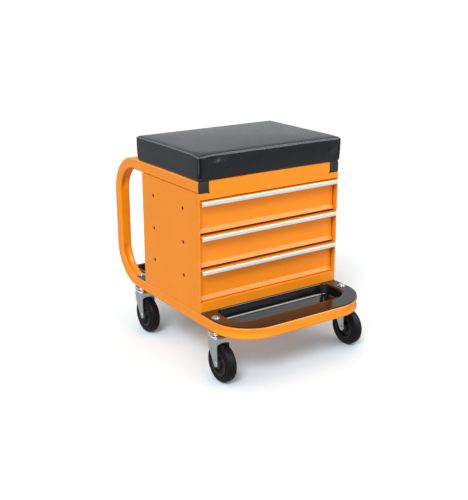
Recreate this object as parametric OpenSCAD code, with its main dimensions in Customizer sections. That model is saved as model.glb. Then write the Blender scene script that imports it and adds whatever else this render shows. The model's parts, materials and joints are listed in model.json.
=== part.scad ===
// Creeper stool with three drawers: a bent tube frame, a sheet metal cabinet, a padded seat,
// two tool trays and four swivel castors.
// Millimetres. The front faces -Y, X runs to the right seen from the front, Z is up.
// The origin is on the floor, under the middle of the frame.

/* [Cabinet] */
// Width over the side panels, which are flush with the frame tube
cab_w = 365; // [340:5:400]
// Depth from the front plane to the back panel
cab_d = 236; // [220:4:280]
// Height of a side panel, from the base tube to the top tube
side_h = 257; // [250:1:290]
// Sheet thickness of panels, rails and drawers
sheet = 1.2; // [0.8:0.1:1.6]
// Thickness of the folded hem at the front edge of a side panel
hem_t = 3; // [2:0.5:4]
// Depth of that hem
hem_d = 9; // [6:1:10]
// Width of the flange that stiffens the top edge of a side panel
flange_w = 7; // [4:1:8]
// Height of the kick rail under the lowest drawer
kick_h = 23.5; // [18:0.5:28]
// How far the top rail hangs below the top tube
rail_drop = 13.5; // [10:0.5:18]
// Depth of the folded edges of the rails
rail_fold = 12; // [6:1:14]
// Radius of the relief holes at the inner corners of the rails
relief_r = 1.8; // [1:0.1:2.5]

/* [Frame tube] */
// Outside width of the square tube
tube = 25; // [22:1:30]
// Outer corner radius of the tube
tube_r = 4; // [3:0.5:5]
// Wall of the tube
tube_wall = 2; // [1.5:0.5:2.5]
// Centre line radius of every bend
bend_r = 77.5; // [65:0.5:85]
// How far the front loop stands out from the cabinet
front_reach = 135; // [130:1:150]
// How far the rear loop stands out from the cabinet
rear_reach = 135; // [130:1:150]
// Thickness of the flange of an end cap
cap_t = 2; // [1:0.5:3]
// How deep the plug of an end cap goes into the tube
cap_plug = 15; // [8:1:25]
// Wall of the plug of an end cap
cap_wall = 1.8; // [1:0.1:2.5]

/* [Drawers] */
// Gap between one drawer front and the next
drawer_gap = 3; // [2:0.5:5]
// Gap between a drawer front and the hem beside it
front_side_gap = 1.2; // [0.6:0.2:2]
// How far the drawer fronts sit behind the front plane
recess = 12; // [8:1:16]
// How far the handle strips stand out from the front plane
lip_out = 6; // [4:1:9]
// Drop of the sloping top of a drawer front
lip_drop = 2; // [1:0.5:4]
// Height of a handle strip
strip_h = 8; // [6:0.5:10]
// Thickness of a handle strip
strip_t = 1.5; // [1:0.1:2]
// How far a handle strip stops short of the end of its drawer front
strip_inset = 1; // [0:0.5:6]
// Depth of the curl along the lower edge of a handle strip
strip_curl = 3; // [2:0.5:4]
// Height of the bevel along the foot of a drawer front
bevel_h = 9.5; // [6:0.5:12]
// How far that bevel stands out
bevel_out = 5; // [3:0.5:7]
// Height of the upright edge under that bevel
bevel_edge = 1.2; // [0.5:0.1:2]
// Length of the fold under a drawer front
foot_fold = 6; // [4:1:10]
// Depth of a drawer box
box_d = 205; // [180:1:206]
// Height of a drawer box
box_h = 52; // [44:1:58]
// Height of a drawer box above the foot of its front
box_lift = 3.5; // [2:0.5:6]

/* [Drawer slides] */
// Height of the centre line of a slide above the foot of the drawer front
slide_z = 43; // [32:1:44]
// Distance that one slide takes up between side panel and drawer box
slide_t = 12.7; // [12.7:0.1:14]
// How much shorter a slide is than its drawer box
slide_short = 0; // [0:1:20]
// Gap between the back of a drawer front and its slides
slide_start = 1; // [0.5:0.5:3]
// Sheet thickness of the slide members
member_t = 1.2; // [1:0.1:1.4]
// Height of the outer member
outer_h = 35; // [35:1:40]
// Width of the flanges of the outer member
outer_flange = 9; // [8:0.5:9.5]
// Gap between the webs of the outer and middle members
web_gap = 2.2; // [2:0.1:2.6]
// Width of the flanges of the middle member
mid_flange = 7; // [6:0.5:7.5]
// Width of the flanges of the inner member
inner_flange = 7; // [6:0.5:7.2]
// Diameter of the balls between the members
ball_d = 3; // [2.5:0.1:3.2]
// Play between a ball and its tracks
ball_play = 0.1; // [0.06:0.02:0.2]
// Distance of the front screws of a slide from the front plane
screw_front = 64; // [50:1:80]
// Distance of the rear screws of a slide from the front plane
screw_back = 188; // [150:1:196]
// Shank radius of a slide screw
screw_r = 2; // [1.5:0.1:2.2]
// Head radius of a slide screw
screw_head_r = 3.6; // [3:0.1:4.5]
// Head height of a slide screw
screw_head_h = 1.4; // [1:0.1:1.6]
// Radius of the holes in the side panels
panel_hole_r = 4; // [3:0.1:4.4]
// Thickness of the collar of a slide screw, which sits in that hole
screw_collar_h = 0.5; // [0.3:0.1:0.8]

/* [Seat] */
// How far the cushion stands out on either side, past the outside of the tubes
seat_side = 2.5; // [0:0.5:6]
// How far the cushion stands out in front of the cabinet
seat_over = 5; // [0:0.5:12]
// How far the cushion stands out behind the cabinet
seat_over_back = 20; // [0:0.5:24]
// Height of the sides of the cushion
seat_h = 55; // [45:1:70]
// Rise of the cushion from its edge to its middle
crown = 6; // [3:1:12]
// Corner radius of the cushion in plan
seat_r = 9; // [7:1:20]
// How far the foot of the cushion draws in
seat_draw = 2.5; // [1.5:0.5:5]
// How far the sides pull in between the corners
seat_pull = 1.5; // [0.5:0.5:5]
// Thickness of the board in the seat
board_t = 9; // [6:1:15]
// Distance of the board from the edge of the cushion
board_inset = 9; // [8:1:16]
// Distance of the seat screws from the front plane and from the back panel
seat_screw_set = 38; // [28:1:60]
// How far the seat screws stay inside the centre line of the top tubes
seat_screw_in = 4; // [2:0.5:5]
// Shank radius of a seat screw
seat_screw_r = 2.5; // [2:0.1:3]
// Head radius of a seat screw
seat_screw_head_r = 4.4; // [4:0.1:4.8]
// Head height of a seat screw
seat_screw_head_h = 3; // [2:0.5:4]

/* [Trays] */
// Sheet thickness of the trays
tray_t = 2.5; // [2:0.1:3]
// How far the edge of a tray stays inside the outside of the tube
tray_inset = 1.5; // [1:0.5:4]
// Depth of the pockets below the top of the tray
pocket_depth = 24; // [16:1:24]
// Distance from the inside of the tube to the side of a pocket
pocket_side = 7.5; // [6:0.5:14]
// Distance from the inside of the tube to the front of the front pocket
pocket_front = 20; // [16:1:30]
// Distance from the cabinet to a pocket
pocket_back = 5; // [4:0.5:12]
// Corner radius of the front pocket away from the cabinet
pocket_r = 40; // [30:1:46]
// Corner radius of the other pocket corners
pocket_r_small = 18; // [8:1:24]
// How far the walls of a pocket lean in at the floor
pocket_lean = 6; // [2:1:12]
// How far the rear tray reaches in between the rear uprights
rear_tray_in = 4; // [0:1:12]
// Gap between a tray and the inside of the tube
tray_gap = 1; // [0.5:0.5:3]

/* [Castors] */
// Wheel diameter
wheel_d = 83; // [76:1:86]
// Wheel width
wheel_w = 25; // [22:1:26]
// Height of a castor from the floor to the tube
castor_h = 104; // [102:1:115]
// Distance of the wheel's axle from the swivel axis
trail = 24; // [18:1:30]
// Distance from the cabinet to the castor bolts
castor_set = 40; // [32:1:44]
// Diameter of the castor's top race
head_d = 34; // [34:1:44]
// Thickness of the top race
head_t = 2.5; // [2:0.5:3]
// Depth of the rolled edge of the top race
head_skirt = 2.6; // [2:0.1:3]
// Width of that rolled edge
skirt_w = 2; // [1.5:0.1:2.5]
// Radius of the king pin
king_r = 7; // [6.5:0.5:8]
// Running clearance, on the radius, of the turning fits
fit_gap = 0.05; // [0.02:0.01:0.08]
// Diameter of the swivel balls
swivel_ball_d = 3.5; // [3:0.1:4]
// Radius of the ring of swivel balls
swivel_ball_ring = 12.5; // [12:0.5:13]
// Sheet thickness of the fork
fork_t = 2.5; // [2:0.1:3]
// Gap between the fork's legs
fork_gap = 29; // [28:0.5:33]
// Radius of the fork's legs round the axle
fork_tip_r = 7; // [7:0.5:10]
// How far the fork's legs reach behind the swivel axis
fork_back = 4; // [0:1:8]
// How far the fork's legs reach ahead of the swivel axis, under the race
fork_front = 28; // [26:1:34]
// How far below the crown the rear edge of a leg starts to lean forward
fork_knee = 20; // [12:1:26]
// Gap between the tyre and the turned-down front edge of the fork's crown
apron_gap = 3.5; // [3:0.5:6]
// Rise of the arch in that front edge, over the tyre
apron_arch = 5; // [2:0.5:6]
// Height of the small hole in a fork's leg above the axle
leg_hole_up = 9.5; // [9:0.5:14]
// Radius of that hole
leg_hole_r = 1.6; // [1:0.1:2]
// Radius of the axle
axle_r = 4; // [3.5:0.5:5]
// Radius of the axle's bush
bush_r = 6; // [5.5:0.5:8]
// Radius of the axle's rivet heads
rivet_r = 5.5; // [5.2:0.1:6.5]
// Height of the axle's rivet heads
rivet_h = 2; // [1:0.5:3]
// Outer radius of the hub, inside the tyre
hub_r = 27; // [25:1:29]
// Radius of the hub's boss
boss_r = 11; // [10:1:13]
// Thickness of the hub's web
web_t = 7; // [5:1:9]
// Thickness of the hub's rim
rim_t = 4; // [3:0.5:5]
// Rounding of the tyre's shoulders
shoulder_r = 7; // [4:0.5:9]
// Play between the hub's boss and the fork's legs
hub_play = 0.4; // [0.3:0.1:0.6]
// Shank radius of a castor bolt
bolt_r = 4; // [3:0.5:5]
// Head radius of a castor bolt
bolt_head_r = 7; // [6.5:0.5:9]
// Head height of a castor bolt
bolt_head_h = 2; // [1.6:0.2:4]
// Width across flats of the socket in a castor bolt
socket_af = 6; // [4:0.5:6]
// Depth of that socket
socket_deep = 2.5; // [1:0.1:4]
// Radius of a castor washer
washer_r = 9; // [8.5:0.5:11]
// Thickness of a castor washer
washer_t = 1.2; // [1:0.2:2.5]
// Width across flats of a castor nut
nut_af = 13; // [12:0.5:16]
// Height of a castor nut
nut_h = 6.5; // [5:0.5:8]
// Clearance, on the radius, of the bolt and screw holes
hole_gap = 0.3; // [0.1:0.1:0.6]

/* [Hidden] */
$fn = 72;
corners = [[-1, -1], [1, -1], [-1, 1], [1, 1]];

// Frame: heights and centre lines
base_top = castor_h + tube;
tube_top = base_top + side_h + tube;
base_z = castor_h + tube / 2;
top_z = tube_top - tube / 2;
side_x = cab_w / 2 - tube / 2;
front_y = -cab_d / 2;
back_y = cab_d / 2;
loop_front = front_y - front_reach + tube / 2;
loop_back = back_y + rear_reach - tube / 2;
tube_in_x = cab_w / 2 - tube;
castor_y = cab_d / 2 + castor_set;

// Seat: width, depth and middle of the cushion, and places of its screws
seat_w = cab_w + 2 * seat_side;
seat_d = cab_d + seat_over + seat_over_back;
seat_y = (seat_over_back - seat_over) / 2;
seat_screw_x = side_x - seat_screw_in;
seat_screw_y = cab_d / 2 - seat_screw_set;

// Cabinet: inner faces and the drawers' pitch
panel_in = cab_w / 2 - sheet;
hem_in = cab_w / 2 - hem_t;
rail_z = base_top + side_h - rail_drop;
kick_z = base_top + kick_h;
pitch = (rail_z - kick_z) / 3;
front_h = pitch - drawer_gap;
sheet_y = front_y + recess;
front_half = hem_in - front_side_gap;
box_half = panel_in - slide_t;
slide_y = sheet_y + sheet + slide_start;
lip_y = front_y - lip_out + strip_t;

// Slides: length, and distances from the side panel and from the slide's centre line
slide_len = box_d - slide_short;
track = ball_d + 2 * ball_play;
outer_in = outer_h / 2 - member_t;
mid_out = outer_in - track;
mid_in = mid_out - member_t;
inner_out = mid_in - track;
mid_web = member_t + web_gap;

// Castors: heights
race_z = castor_h - head_t;
crown_z = race_z - swivel_ball_d - 2 * ball_play;
king_z = crown_z - fork_t - hub_play;
king_flange = 2.5;
king_flange_r = king_r + 4;
nut_z = king_z - king_flange;
bolt_end = 2;
axle_z = wheel_d / 2;
tray_z = base_top + tray_t;

// A square with round corners, centred
module round_square(size, r) {
    square([size, size - 2 * r], center = true);
    square([size - 2 * r, size], center = true);
    for (c = corners)
        translate([c.x * (size / 2 - r), c.y * (size / 2 - r)]) circle(r);
}

module tube_section() {
    difference() {
        round_square(tube, tube_r);
        round_square(tube - 2 * tube_wall, max(tube_r - tube_wall, 0.5));
    }
}

module tube_along_y(from, to) {
    translate([0, from, 0]) rotate([-90, 0, 0]) linear_extrude(to - from) tube_section();
}

// A quarter bend in the X-Y plane that starts at the angle given
module tube_bend(start) {
    rotate([0, 0, start]) rotate_extrude(angle = 90) translate([bend_r, 0]) tube_section();
}

// One side of the frame: top run, rear upright, base run and front corner
module frame_side(s) {
    translate([s * side_x, 0, top_z]) tube_along_y(front_y + cap_t, loop_back - bend_r);
    translate([s * side_x, loop_back - bend_r, top_z - bend_r]) rotate([90, 0, 90]) tube_bend(0);
    translate([s * side_x, loop_back, base_z + bend_r])
        linear_extrude(top_z - base_z - 2 * bend_r) tube_section();
    translate([s * side_x, loop_back - bend_r, base_z + bend_r]) rotate([90, 0, 90]) tube_bend(-90);
    translate([s * side_x, 0, base_z]) tube_along_y(loop_front + bend_r, loop_back - bend_r);
    translate([s * (side_x - bend_r), loop_front + bend_r, base_z])
        tube_bend(s > 0 ? -90 : 180);
}

// A hole or a shank at each castor position
module at_bolts() {
    for (c = corners) translate([c.x * side_x, c.y * castor_y, 0]) children();
}

module at_seat_screws() {
    for (c = corners) translate([c.x * seat_screw_x, c.y * seat_screw_y, 0]) children();
}

module frame_tube() {
    color("darkorange") difference() {
        union() {
            for (s = [-1, 1]) frame_side(s);
            translate([-(side_x - bend_r), loop_front, base_z]) rotate([0, 90, 0])
                linear_extrude(2 * (side_x - bend_r)) tube_section();
        }
        at_bolts() translate([0, 0, castor_h - 1]) cylinder(h = tube + 2, r = bolt_r + hole_gap);
        at_seat_screws() translate([0, 0, tube_top - tube - 1])
            cylinder(h = tube + 2, r = seat_screw_r + hole_gap);
    }
}

module end_cap(s) {
    plug = tube - 2 * tube_wall - 2 * hole_gap;
    color("#202124") translate([s * side_x, front_y, top_z]) rotate([-90, 0, 0]) {
        linear_extrude(cap_t) round_square(tube, tube_r);
        difference() {
            linear_extrude(cap_t + cap_plug) round_square(plug, 1);
            translate([0, 0, cap_t]) linear_extrude(cap_plug + 1)
                round_square(plug - 2 * cap_wall, 0.5);
        }
    }
}

// Places of the slide screws on one side panel
module at_slide_screws() {
    for (k = [0 : 2])
        for (y = [screw_front, screw_back])
            translate([0, front_y + y, kick_z + drawer_gap / 2 + k * pitch + slide_z]) children();
}

module side_panel(s) {
    color("orange") mirror([s > 0 ? 0 : 1, 0, 0]) difference() {
        union() {
            translate([panel_in, front_y, base_top]) cube([sheet, cab_d, side_h]);
            translate([hem_in, front_y, base_top + sheet]) cube([hem_t, hem_d, side_h - sheet]);
            translate([cab_w / 2 - flange_w, front_y, base_top + side_h - sheet])
                cube([flange_w, cab_d - sheet, sheet]);
        }
        at_slide_screws() translate([panel_in - 1, 0, 0]) rotate([0, 90, 0])
            cylinder(h = sheet + 2, r = panel_hole_r);
    }
}

// Sheet that closes the width between the side panels and, higher up, between the top tubes
module end_sheet(low_half, low_z) {
    translate([-low_half, 0, low_z]) cube([2 * low_half, sheet, base_top + side_h - low_z]);
    translate([-tube_in_x + hole_gap, 0, base_top + side_h])
        cube([2 * (tube_in_x - hole_gap), sheet, tube - hole_gap]);
}

module back_panel() {
    color("orange") translate([0, back_y - sheet, 0]) difference() {
        end_sheet(panel_in, base_top);
        for (s = [-1, 1]) translate([s * cab_w / 2, -1, base_top + side_h - sheet])
            translate([-flange_w, 0, 0]) cube([2 * flange_w, sheet + 2, sheet]);
    }
}

module top_rail() {
    color("orange") translate([0, front_y, 0]) difference() {
        union() {
            end_sheet(hem_in, rail_z);
            translate([-hem_in, 0, rail_z]) cube([2 * hem_in, rail_fold, sheet]);
            translate([-tube_in_x + hole_gap, 0, tube_top - hole_gap - sheet])
                cube([2 * (tube_in_x - hole_gap), rail_fold, sheet]);
        }
        for (s = [-1, 1]) translate([s * (tube_in_x - hole_gap), -1, base_top + side_h])
            rotate([-90, 0, 0]) cylinder(h = sheet + 2, r = relief_r);
        for (s = [-1, 1]) translate([s * cab_w / 2, -1, base_top + side_h - sheet])
            translate([-flange_w, 0, 0]) cube([2 * flange_w, rail_fold + 2, sheet + 0.01]);
    }
}

module kick_rail() {
    color("orange") translate([-hem_in, front_y, 0]) {
        translate([0, 0, base_top + sheet]) cube([2 * hem_in, sheet, kick_h - sheet]);
        translate([0, 0, kick_z - sheet]) cube([2 * hem_in, rail_fold, sheet]);
    }
}

module base_panel() {
    color("orange") translate([-panel_in, front_y, base_top])
        cube([2 * panel_in, cab_d - sheet, sheet]);
}

module seat_board() {
    color("burlywood") difference() {
        translate([-(seat_w / 2 - board_inset), seat_y - (seat_d / 2 - board_inset), tube_top])
            cube([seat_w - 2 * board_inset, seat_d - 2 * board_inset, board_t]);
        at_seat_screws() translate([0, 0, tube_top - 1])
            cylinder(h = board_t, r = seat_screw_r + hole_gap);
    }
}

module seat_screws() {
    color("silver") at_seat_screws() {
        translate([0, 0, tube_top - tube - seat_screw_head_h])
            cylinder(h = seat_screw_head_h, r = seat_screw_head_r);
        translate([0, 0, tube_top - tube]) cylinder(h = tube + board_t - 2, r = seat_screw_r);
    }
}

// Points of one ring of the cushion: four rounded corners, and sides that pull in between them
arc_n = 4;
run_n = 8;
ring_n = 4 * (arc_n + run_n);
function corner_point(c, a, hw, hd, r) =
    [corners_ccw[c].x * (hw - r) + r * cos(a), corners_ccw[c].y * (hd - r) + r * sin(a)];
corners_ccw = [[1, 1], [-1, 1], [-1, -1], [1, -1]];
function seat_ring(hw, hd, r, pull, z) = [
    for (c = [0 : 3]) for (j = [0 : arc_n + run_n - 1])
        let (a = 90 * c, n = a + 90, t = (j - arc_n) / run_n,
             from = corner_point(c, n, hw, hd, r),
             to = corner_point((c + 1) % 4, n, hw, hd, r),
             p = j < arc_n ? corner_point(c, a + 90 * j / arc_n, hw, hd, r)
               : from + (to - from) * t - pull * pow(sin(180 * t), 2) * [cos(n), sin(n)])
        [p.x, p.y, z]
];

// Side levels of the cushion: how far each is drawn in, and its share of the side height
edge_r = 6;
side_levels = [
    for (u = [0, 0.1, 0.28, 0.52, 0.76]) [seat_draw * pow(1 - u / 0.76, 2), u * seat_h]
];
edge_levels = [
    for (a = [0 : 22.5 : 90]) [edge_r * (1 - cos(a)), seat_h - edge_r * (1 - sin(a))]
];
crown_n = 6;
seat_rings = concat(
    [for (l = side_levels) seat_ring(seat_w / 2 - l[0], seat_d / 2 - l[0], seat_r, seat_pull, l[1])],
    [for (l = edge_levels)
        seat_ring(seat_w / 2 - l[0], seat_d / 2 - l[0], max(seat_r - l[0], 2), seat_pull, l[1])],
    [for (k = [1 : crown_n - 1]) let (f = 1 - k / crown_n)
        seat_ring((seat_w / 2 - edge_r) * f, (seat_d / 2 - edge_r) * f, (seat_r - edge_r / 2) * f,
                  seat_pull * f, seat_h + crown * (1 - pow(f, 2.2)))]
);
ring_count = len(seat_rings);
seat_points = concat([for (ring = seat_rings) each ring], [[0, 0, 0], [0, 0, seat_h + crown]]);
seat_faces = concat(
    [for (k = [0 : ring_count - 2]) for (i = [0 : ring_n - 1])
        let (a = k * ring_n + i, b = k * ring_n + (i + 1) % ring_n) each
        [[a, a + ring_n, b], [b, a + ring_n, b + ring_n]]],
    [for (i = [0 : ring_n - 1]) [i, (i + 1) % ring_n, ring_count * ring_n]],
    [for (i = [0 : ring_n - 1]) let (top = (ring_count - 1) * ring_n)
        [top + (i + 1) % ring_n, top + i, ring_count * ring_n + 1]]
);

module seat_cushion() {
    color("#1b1c1e") translate([0, seat_y, 0]) difference() {
        translate([0, 0, tube_top]) polyhedron(seat_points, seat_faces);
        translate([-(seat_w / 2 - board_inset), -(seat_d / 2 - board_inset), tube_top - 1])
            cube([seat_w - 2 * board_inset, seat_d - 2 * board_inset, board_t + 1]);
    }
}

// Plan of a pocket between two lines, y_near beside the cabinet and y_far away from it
module pocket_plan(half, y_near, y_far, r_near, r_far) {
    dir = y_far > y_near ? 1 : -1;
    for (s = [-1, 1]) {
        translate([s * (half - r_near), y_near + dir * r_near]) circle(r_near, $fn = 32);
        translate([s * (half - r_far), y_far - dir * r_far]) circle(r_far, $fn = 32);
    }
}

// The hollow of a pocket, or with a wall added its outside
module pocket(half, y_near, y_far, r_far, wall, top) {
    dir = y_far > y_near ? 1 : -1;
    floor_z = tray_z - pocket_depth - wall;
    lean = pocket_lean;
    hull() {
        translate([0, 0, top - 0.1]) linear_extrude(0.1)
            pocket_plan(half + wall, y_near - dir * wall, y_far + dir * wall,
                        pocket_r_small + wall, r_far + wall);
        translate([0, 0, floor_z]) linear_extrude(0.1)
            pocket_plan(half + wall - lean, y_near + dir * (1 - wall), y_far + dir * (wall - lean),
                        pocket_r_small + wall - 1, r_far + wall - 1);
    }
}

front_tray_y = front_y - front_reach + tray_inset;
front_pocket_far = front_y - front_reach + tube + pocket_front;
pocket_half = tube_in_x - pocket_side;
tray_half = cab_w / 2 - tray_inset;
tray_corner = bend_r + tube / 2 - tray_inset;

// A straight edge beside the cabinet and two round corners over the frame's front bends
module front_tray_plan() {
    intersection() {
        translate([-tray_half, front_tray_y]) square([2 * tray_half, front_y - front_tray_y]);
        union() {
            translate([-tray_half, front_tray_y + tray_corner]) square([2 * tray_half, front_reach]);
            translate([-(tray_half - tray_corner), front_tray_y])
                square([2 * (tray_half - tray_corner), front_reach]);
            for (s = [-1, 1])
                translate([s * (tray_half - tray_corner), front_tray_y + tray_corner])
                    circle(tray_corner);
        }
    }
}

module front_tray() {
    color("#26272a") difference() {
        union() {
            translate([0, 0, base_top]) linear_extrude(tray_t) front_tray_plan();
            pocket(pocket_half, front_y - pocket_back, front_pocket_far, pocket_r, tray_t,
                   base_top + 0.5);
        }
        pocket(pocket_half, front_y - pocket_back, front_pocket_far, pocket_r, 0, tray_z + 1);
        at_bolts() translate([0, 0, base_top - 1]) cylinder(h = tray_t + 2, r = bolt_r + hole_gap);
    }
}

rear_flat_end = back_y + rear_reach - tube / 2 - bend_r;
rear_tray_y = back_y + rear_reach - tube + rear_tray_in;
rear_half = tube_in_x - tray_gap;
rear_pocket_far = rear_tray_y - pocket_back;

module rear_tray() {
    color("#26272a") difference() {
        union() {
            translate([-tray_half, back_y, base_top])
                cube([2 * tray_half, rear_flat_end - back_y, tray_t]);
            translate([-rear_half, back_y, base_top])
                cube([2 * rear_half, rear_tray_y - back_y, tray_t]);
            pocket(pocket_half, back_y + pocket_back, rear_pocket_far, pocket_r_small, tray_t,
                   base_top + 0.5);
        }
        pocket(pocket_half, back_y + pocket_back, rear_pocket_far, pocket_r_small, 0, tray_z + 1);
        at_bolts() translate([0, 0, base_top - 1]) cylinder(h = tray_t + 2, r = bolt_r + hole_gap);
    }
}

module hexagon(af) {
    circle(d = af / cos(30), $fn = 6);
}

// Button head with a hexagon socket, and a shank that ends below the nut
module castor_bolts() {
    shank = tray_z + washer_t - nut_z + nut_h + bolt_end;
    color("silver") at_bolts() translate([0, 0, tray_z + washer_t]) difference() {
        union() {
            cylinder(h = bolt_head_h / 2, r = bolt_head_r);
            translate([0, 0, bolt_head_h / 2])
                cylinder(h = bolt_head_h / 2, r1 = bolt_head_r, r2 = bolt_head_r * 0.7);
            translate([0, 0, -shank]) cylinder(h = shank + 0.1, r = bolt_r);
        }
        translate([0, 0, bolt_head_h - socket_deep]) linear_extrude(socket_deep + 1)
            hexagon(socket_af);
    }
}

module castor_washers() {
    color("silver") at_bolts() translate([0, 0, tray_z]) difference() {
        cylinder(h = washer_t, r = washer_r);
        translate([0, 0, -1]) cylinder(h = washer_t + 2, r = bolt_r + hole_gap);
    }
}

module castor_nuts() {
    color("silver") at_bolts() translate([0, 0, nut_z - nut_h]) difference() {
        linear_extrude(nut_h) hexagon(nut_af);
        translate([0, 0, -1]) cylinder(h = nut_h + 2, r = bolt_r);
    }
}

// A slide member on both sides: a web and two flanges, by distance from the side panel
module member(web, flange_from, flange_to, out) {
    for (s = [0, 1]) mirror([s, 0, 0]) {
        translate([panel_in - web - member_t, slide_y, slide_z - out])
            cube([member_t, slide_len, 2 * out]);
        for (z = [-out, out - member_t])
            translate([panel_in - flange_to, slide_y, slide_z + z])
                cube([flange_to - flange_from, slide_len, member_t]);
    }
}

module slide_outer() {
    color("lightgray") difference() {
        member(0, 0, outer_flange, outer_h / 2);
        for (s = [-1, 1])
            for (y = [screw_front, screw_back])
                translate([s * (panel_in - member_t - 1), front_y + y, slide_z])
                    rotate([0, s * 90, 0]) cylinder(h = member_t + 2, r = screw_r + hole_gap);
    }
}

module slide_mid() {
    color("gainsboro") member(mid_web, mid_web, mid_web + mid_flange, mid_out);
}

module slide_inner() {
    color("silver") member(slide_t - member_t, slide_t - inner_flange, slide_t, inner_out);
}

ball_count = 6;
ball_step = 14;
module slide_balls() {
    color("white") for (s = [-1, 1]) for (v = [-1, 1]) for (k = [0 : ball_count - 1])
        for (row = [[mid_web + 2, (outer_in + mid_out) / 2, 0.5],
                    [slide_t - inner_flange + 2, (mid_in + inner_out) / 2, 0.1]])
            translate([s * (panel_in - row[0]), slide_y + slide_len * row[2] + ball_step * (k + 1) / 2,
                       slide_z + v * row[1]])
                sphere(d = ball_d, $fn = 24);
}

module slide_screws() {
    color("dimgray") for (s = [0, 1]) mirror([s, 0, 0]) at_slide_screws() {
        translate([panel_in - member_t, 0, 0]) rotate([0, 90, 0])
            cylinder(h = member_t + screw_collar_h, r = screw_r);
        translate([panel_in, 0, 0]) rotate([0, 90, 0])
            cylinder(h = screw_collar_h, r = panel_hole_r - hole_gap / 2);
        translate([panel_in - member_t - screw_head_h, 0, 0]) rotate([0, 90, 0])
            cylinder(h = screw_head_h, r = screw_head_r);
    }
}

module drawer_box() {
    color("orange") translate([-box_half, sheet_y + sheet, box_lift]) difference() {
        cube([2 * box_half, box_d, box_h]);
        translate([sheet, sheet, sheet]) cube([2 * (box_half - sheet), box_d - 2 * sheet, box_h]);
    }
}

// Folded sheet: a lip for the handle strip, a recessed face, a bevel and a fold under it
module drawer_front() {
    top = front_h;
    lip_top = top - lip_drop;
    bevel_y = sheet_y - bevel_out;
    section = [
        [lip_y, lip_top - strip_h], [lip_y, lip_top], [sheet_y + sheet, top],
        [sheet_y + sheet, bevel_h], [bevel_y + sheet, bevel_edge + sheet], [bevel_y + sheet, sheet],
        [sheet_y + sheet, sheet], [sheet_y + foot_fold, sheet], [sheet_y + foot_fold, 0],
        [bevel_y, 0], [bevel_y, bevel_edge], [sheet_y, bevel_h], [sheet_y, top - 1.5 * sheet],
        [lip_y + sheet, lip_top - sheet], [lip_y + sheet, lip_top - strip_h]
    ];
    color("darkorange") translate([-front_half, 0, 0]) rotate([90, 0, 90])
        linear_extrude(2 * front_half) polygon(section);
}

// Aluminium profile over the down-turned edge of the lip
module handle_strip() {
    low = front_h - lip_drop - strip_h;
    section = [
        [lip_y - strip_t, low - strip_t], [lip_y - strip_t, low + strip_h], [lip_y, low + strip_h],
        [lip_y, low], [lip_y - strip_t + strip_curl, low], [lip_y - strip_t + strip_curl, low - strip_t]
    ];
    half = front_half - strip_inset;
    color("gainsboro") translate([-half, 0, 0]) rotate([90, 0, 90])
        linear_extrude(2 * half) polygon(section);
}

// Moves a drawer part to drawer k, counted from 1 at the top
module at_drawer(k) {
    translate([0, 0, kick_z + drawer_gap / 2 + (3 - k) * pitch]) children();
}

// Moves a castor part from the floor under the swivel axis to corner c
module at_castor(c) {
    translate([corners[c].x * side_x, corners[c].y * castor_y, 0]) children();
}

// Top race with its rolled edge, and the hollow king pin that holds the fork
module castor_head() {
    color("silver") difference() {
        union() {
            translate([0, 0, race_z]) cylinder(h = head_t, d = head_d);
            translate([0, 0, race_z - head_skirt]) cylinder(h = head_skirt, d = head_d);
            translate([0, 0, king_z]) cylinder(h = race_z - king_z, r = king_r);
            translate([0, 0, nut_z]) cylinder(h = king_flange, r = king_flange_r);
        }
        difference() {
            translate([0, 0, race_z - head_skirt - 1])
                cylinder(h = head_skirt + 1, r = head_d / 2 - skirt_w);
            translate([0, 0, king_z - 1]) cylinder(h = castor_h, r = king_r);
        }
        translate([0, 0, nut_z - 1]) cylinder(h = castor_h, r = bolt_r + hole_gap);
    }
}

swivel_balls = 12;
module castor_balls() {
    color("white") for (c = [0 : 3]) at_castor(c) for (k = [0 : swivel_balls - 1])
        rotate([0, 0, 360 * k / swivel_balls])
            translate([swivel_ball_ring, 0, crown_z + ball_play + swivel_ball_d / 2])
                sphere(d = swivel_ball_d, $fn = 24);
}

module fork_leg() {
    rotate([90, 0, 90]) linear_extrude(fork_t) difference() {
        union() {
            polygon([
                [fork_back, crown_z], [-fork_front, crown_z],
                [-(trail + fork_tip_r), axle_z], [-(trail - fork_tip_r), axle_z],
                [fork_back, crown_z - fork_knee]
            ]);
            translate([-trail, axle_z]) circle(fork_tip_r);
        }
        translate([-trail, axle_z]) circle(axle_r + hole_gap);
        translate([-trail, axle_z + leg_hole_up]) circle(leg_hole_r);
    }
}

// Front edge of the crown, turned down between the legs and arched over the tyre
module fork_apron() {
    half = fork_gap / 2 + 1;
    arch = [for (k = [-6 : 6]) let (u = sin(15 * k))
        [half * u, wheel_d + apron_gap - apron_arch * (1 - cos(15 * k))]];
    translate([0, fork_t - fork_front, 0]) rotate([90, 0, 0]) linear_extrude(fork_t)
        polygon(concat(arch, [[half, crown_z], [-half, crown_z]]));
}

module fork() {
    color("silver") {
        difference() {
            translate([0, 0, crown_z - fork_t]) union() {
                cylinder(h = fork_t, r = head_d / 2 - 1);
                translate([-fork_gap / 2 - fork_t, -fork_front, 0])
                    cube([fork_gap + 2 * fork_t, fork_front + fork_back, fork_t]);
            }
            translate([0, 0, crown_z - fork_t - 1]) cylinder(h = fork_t + 2, r = king_r + fit_gap);
        }
        translate([fork_gap / 2, 0, 0]) fork_leg();
        translate([-fork_gap / 2 - fork_t, 0, 0]) fork_leg();
        fork_apron();
    }
}

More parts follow.
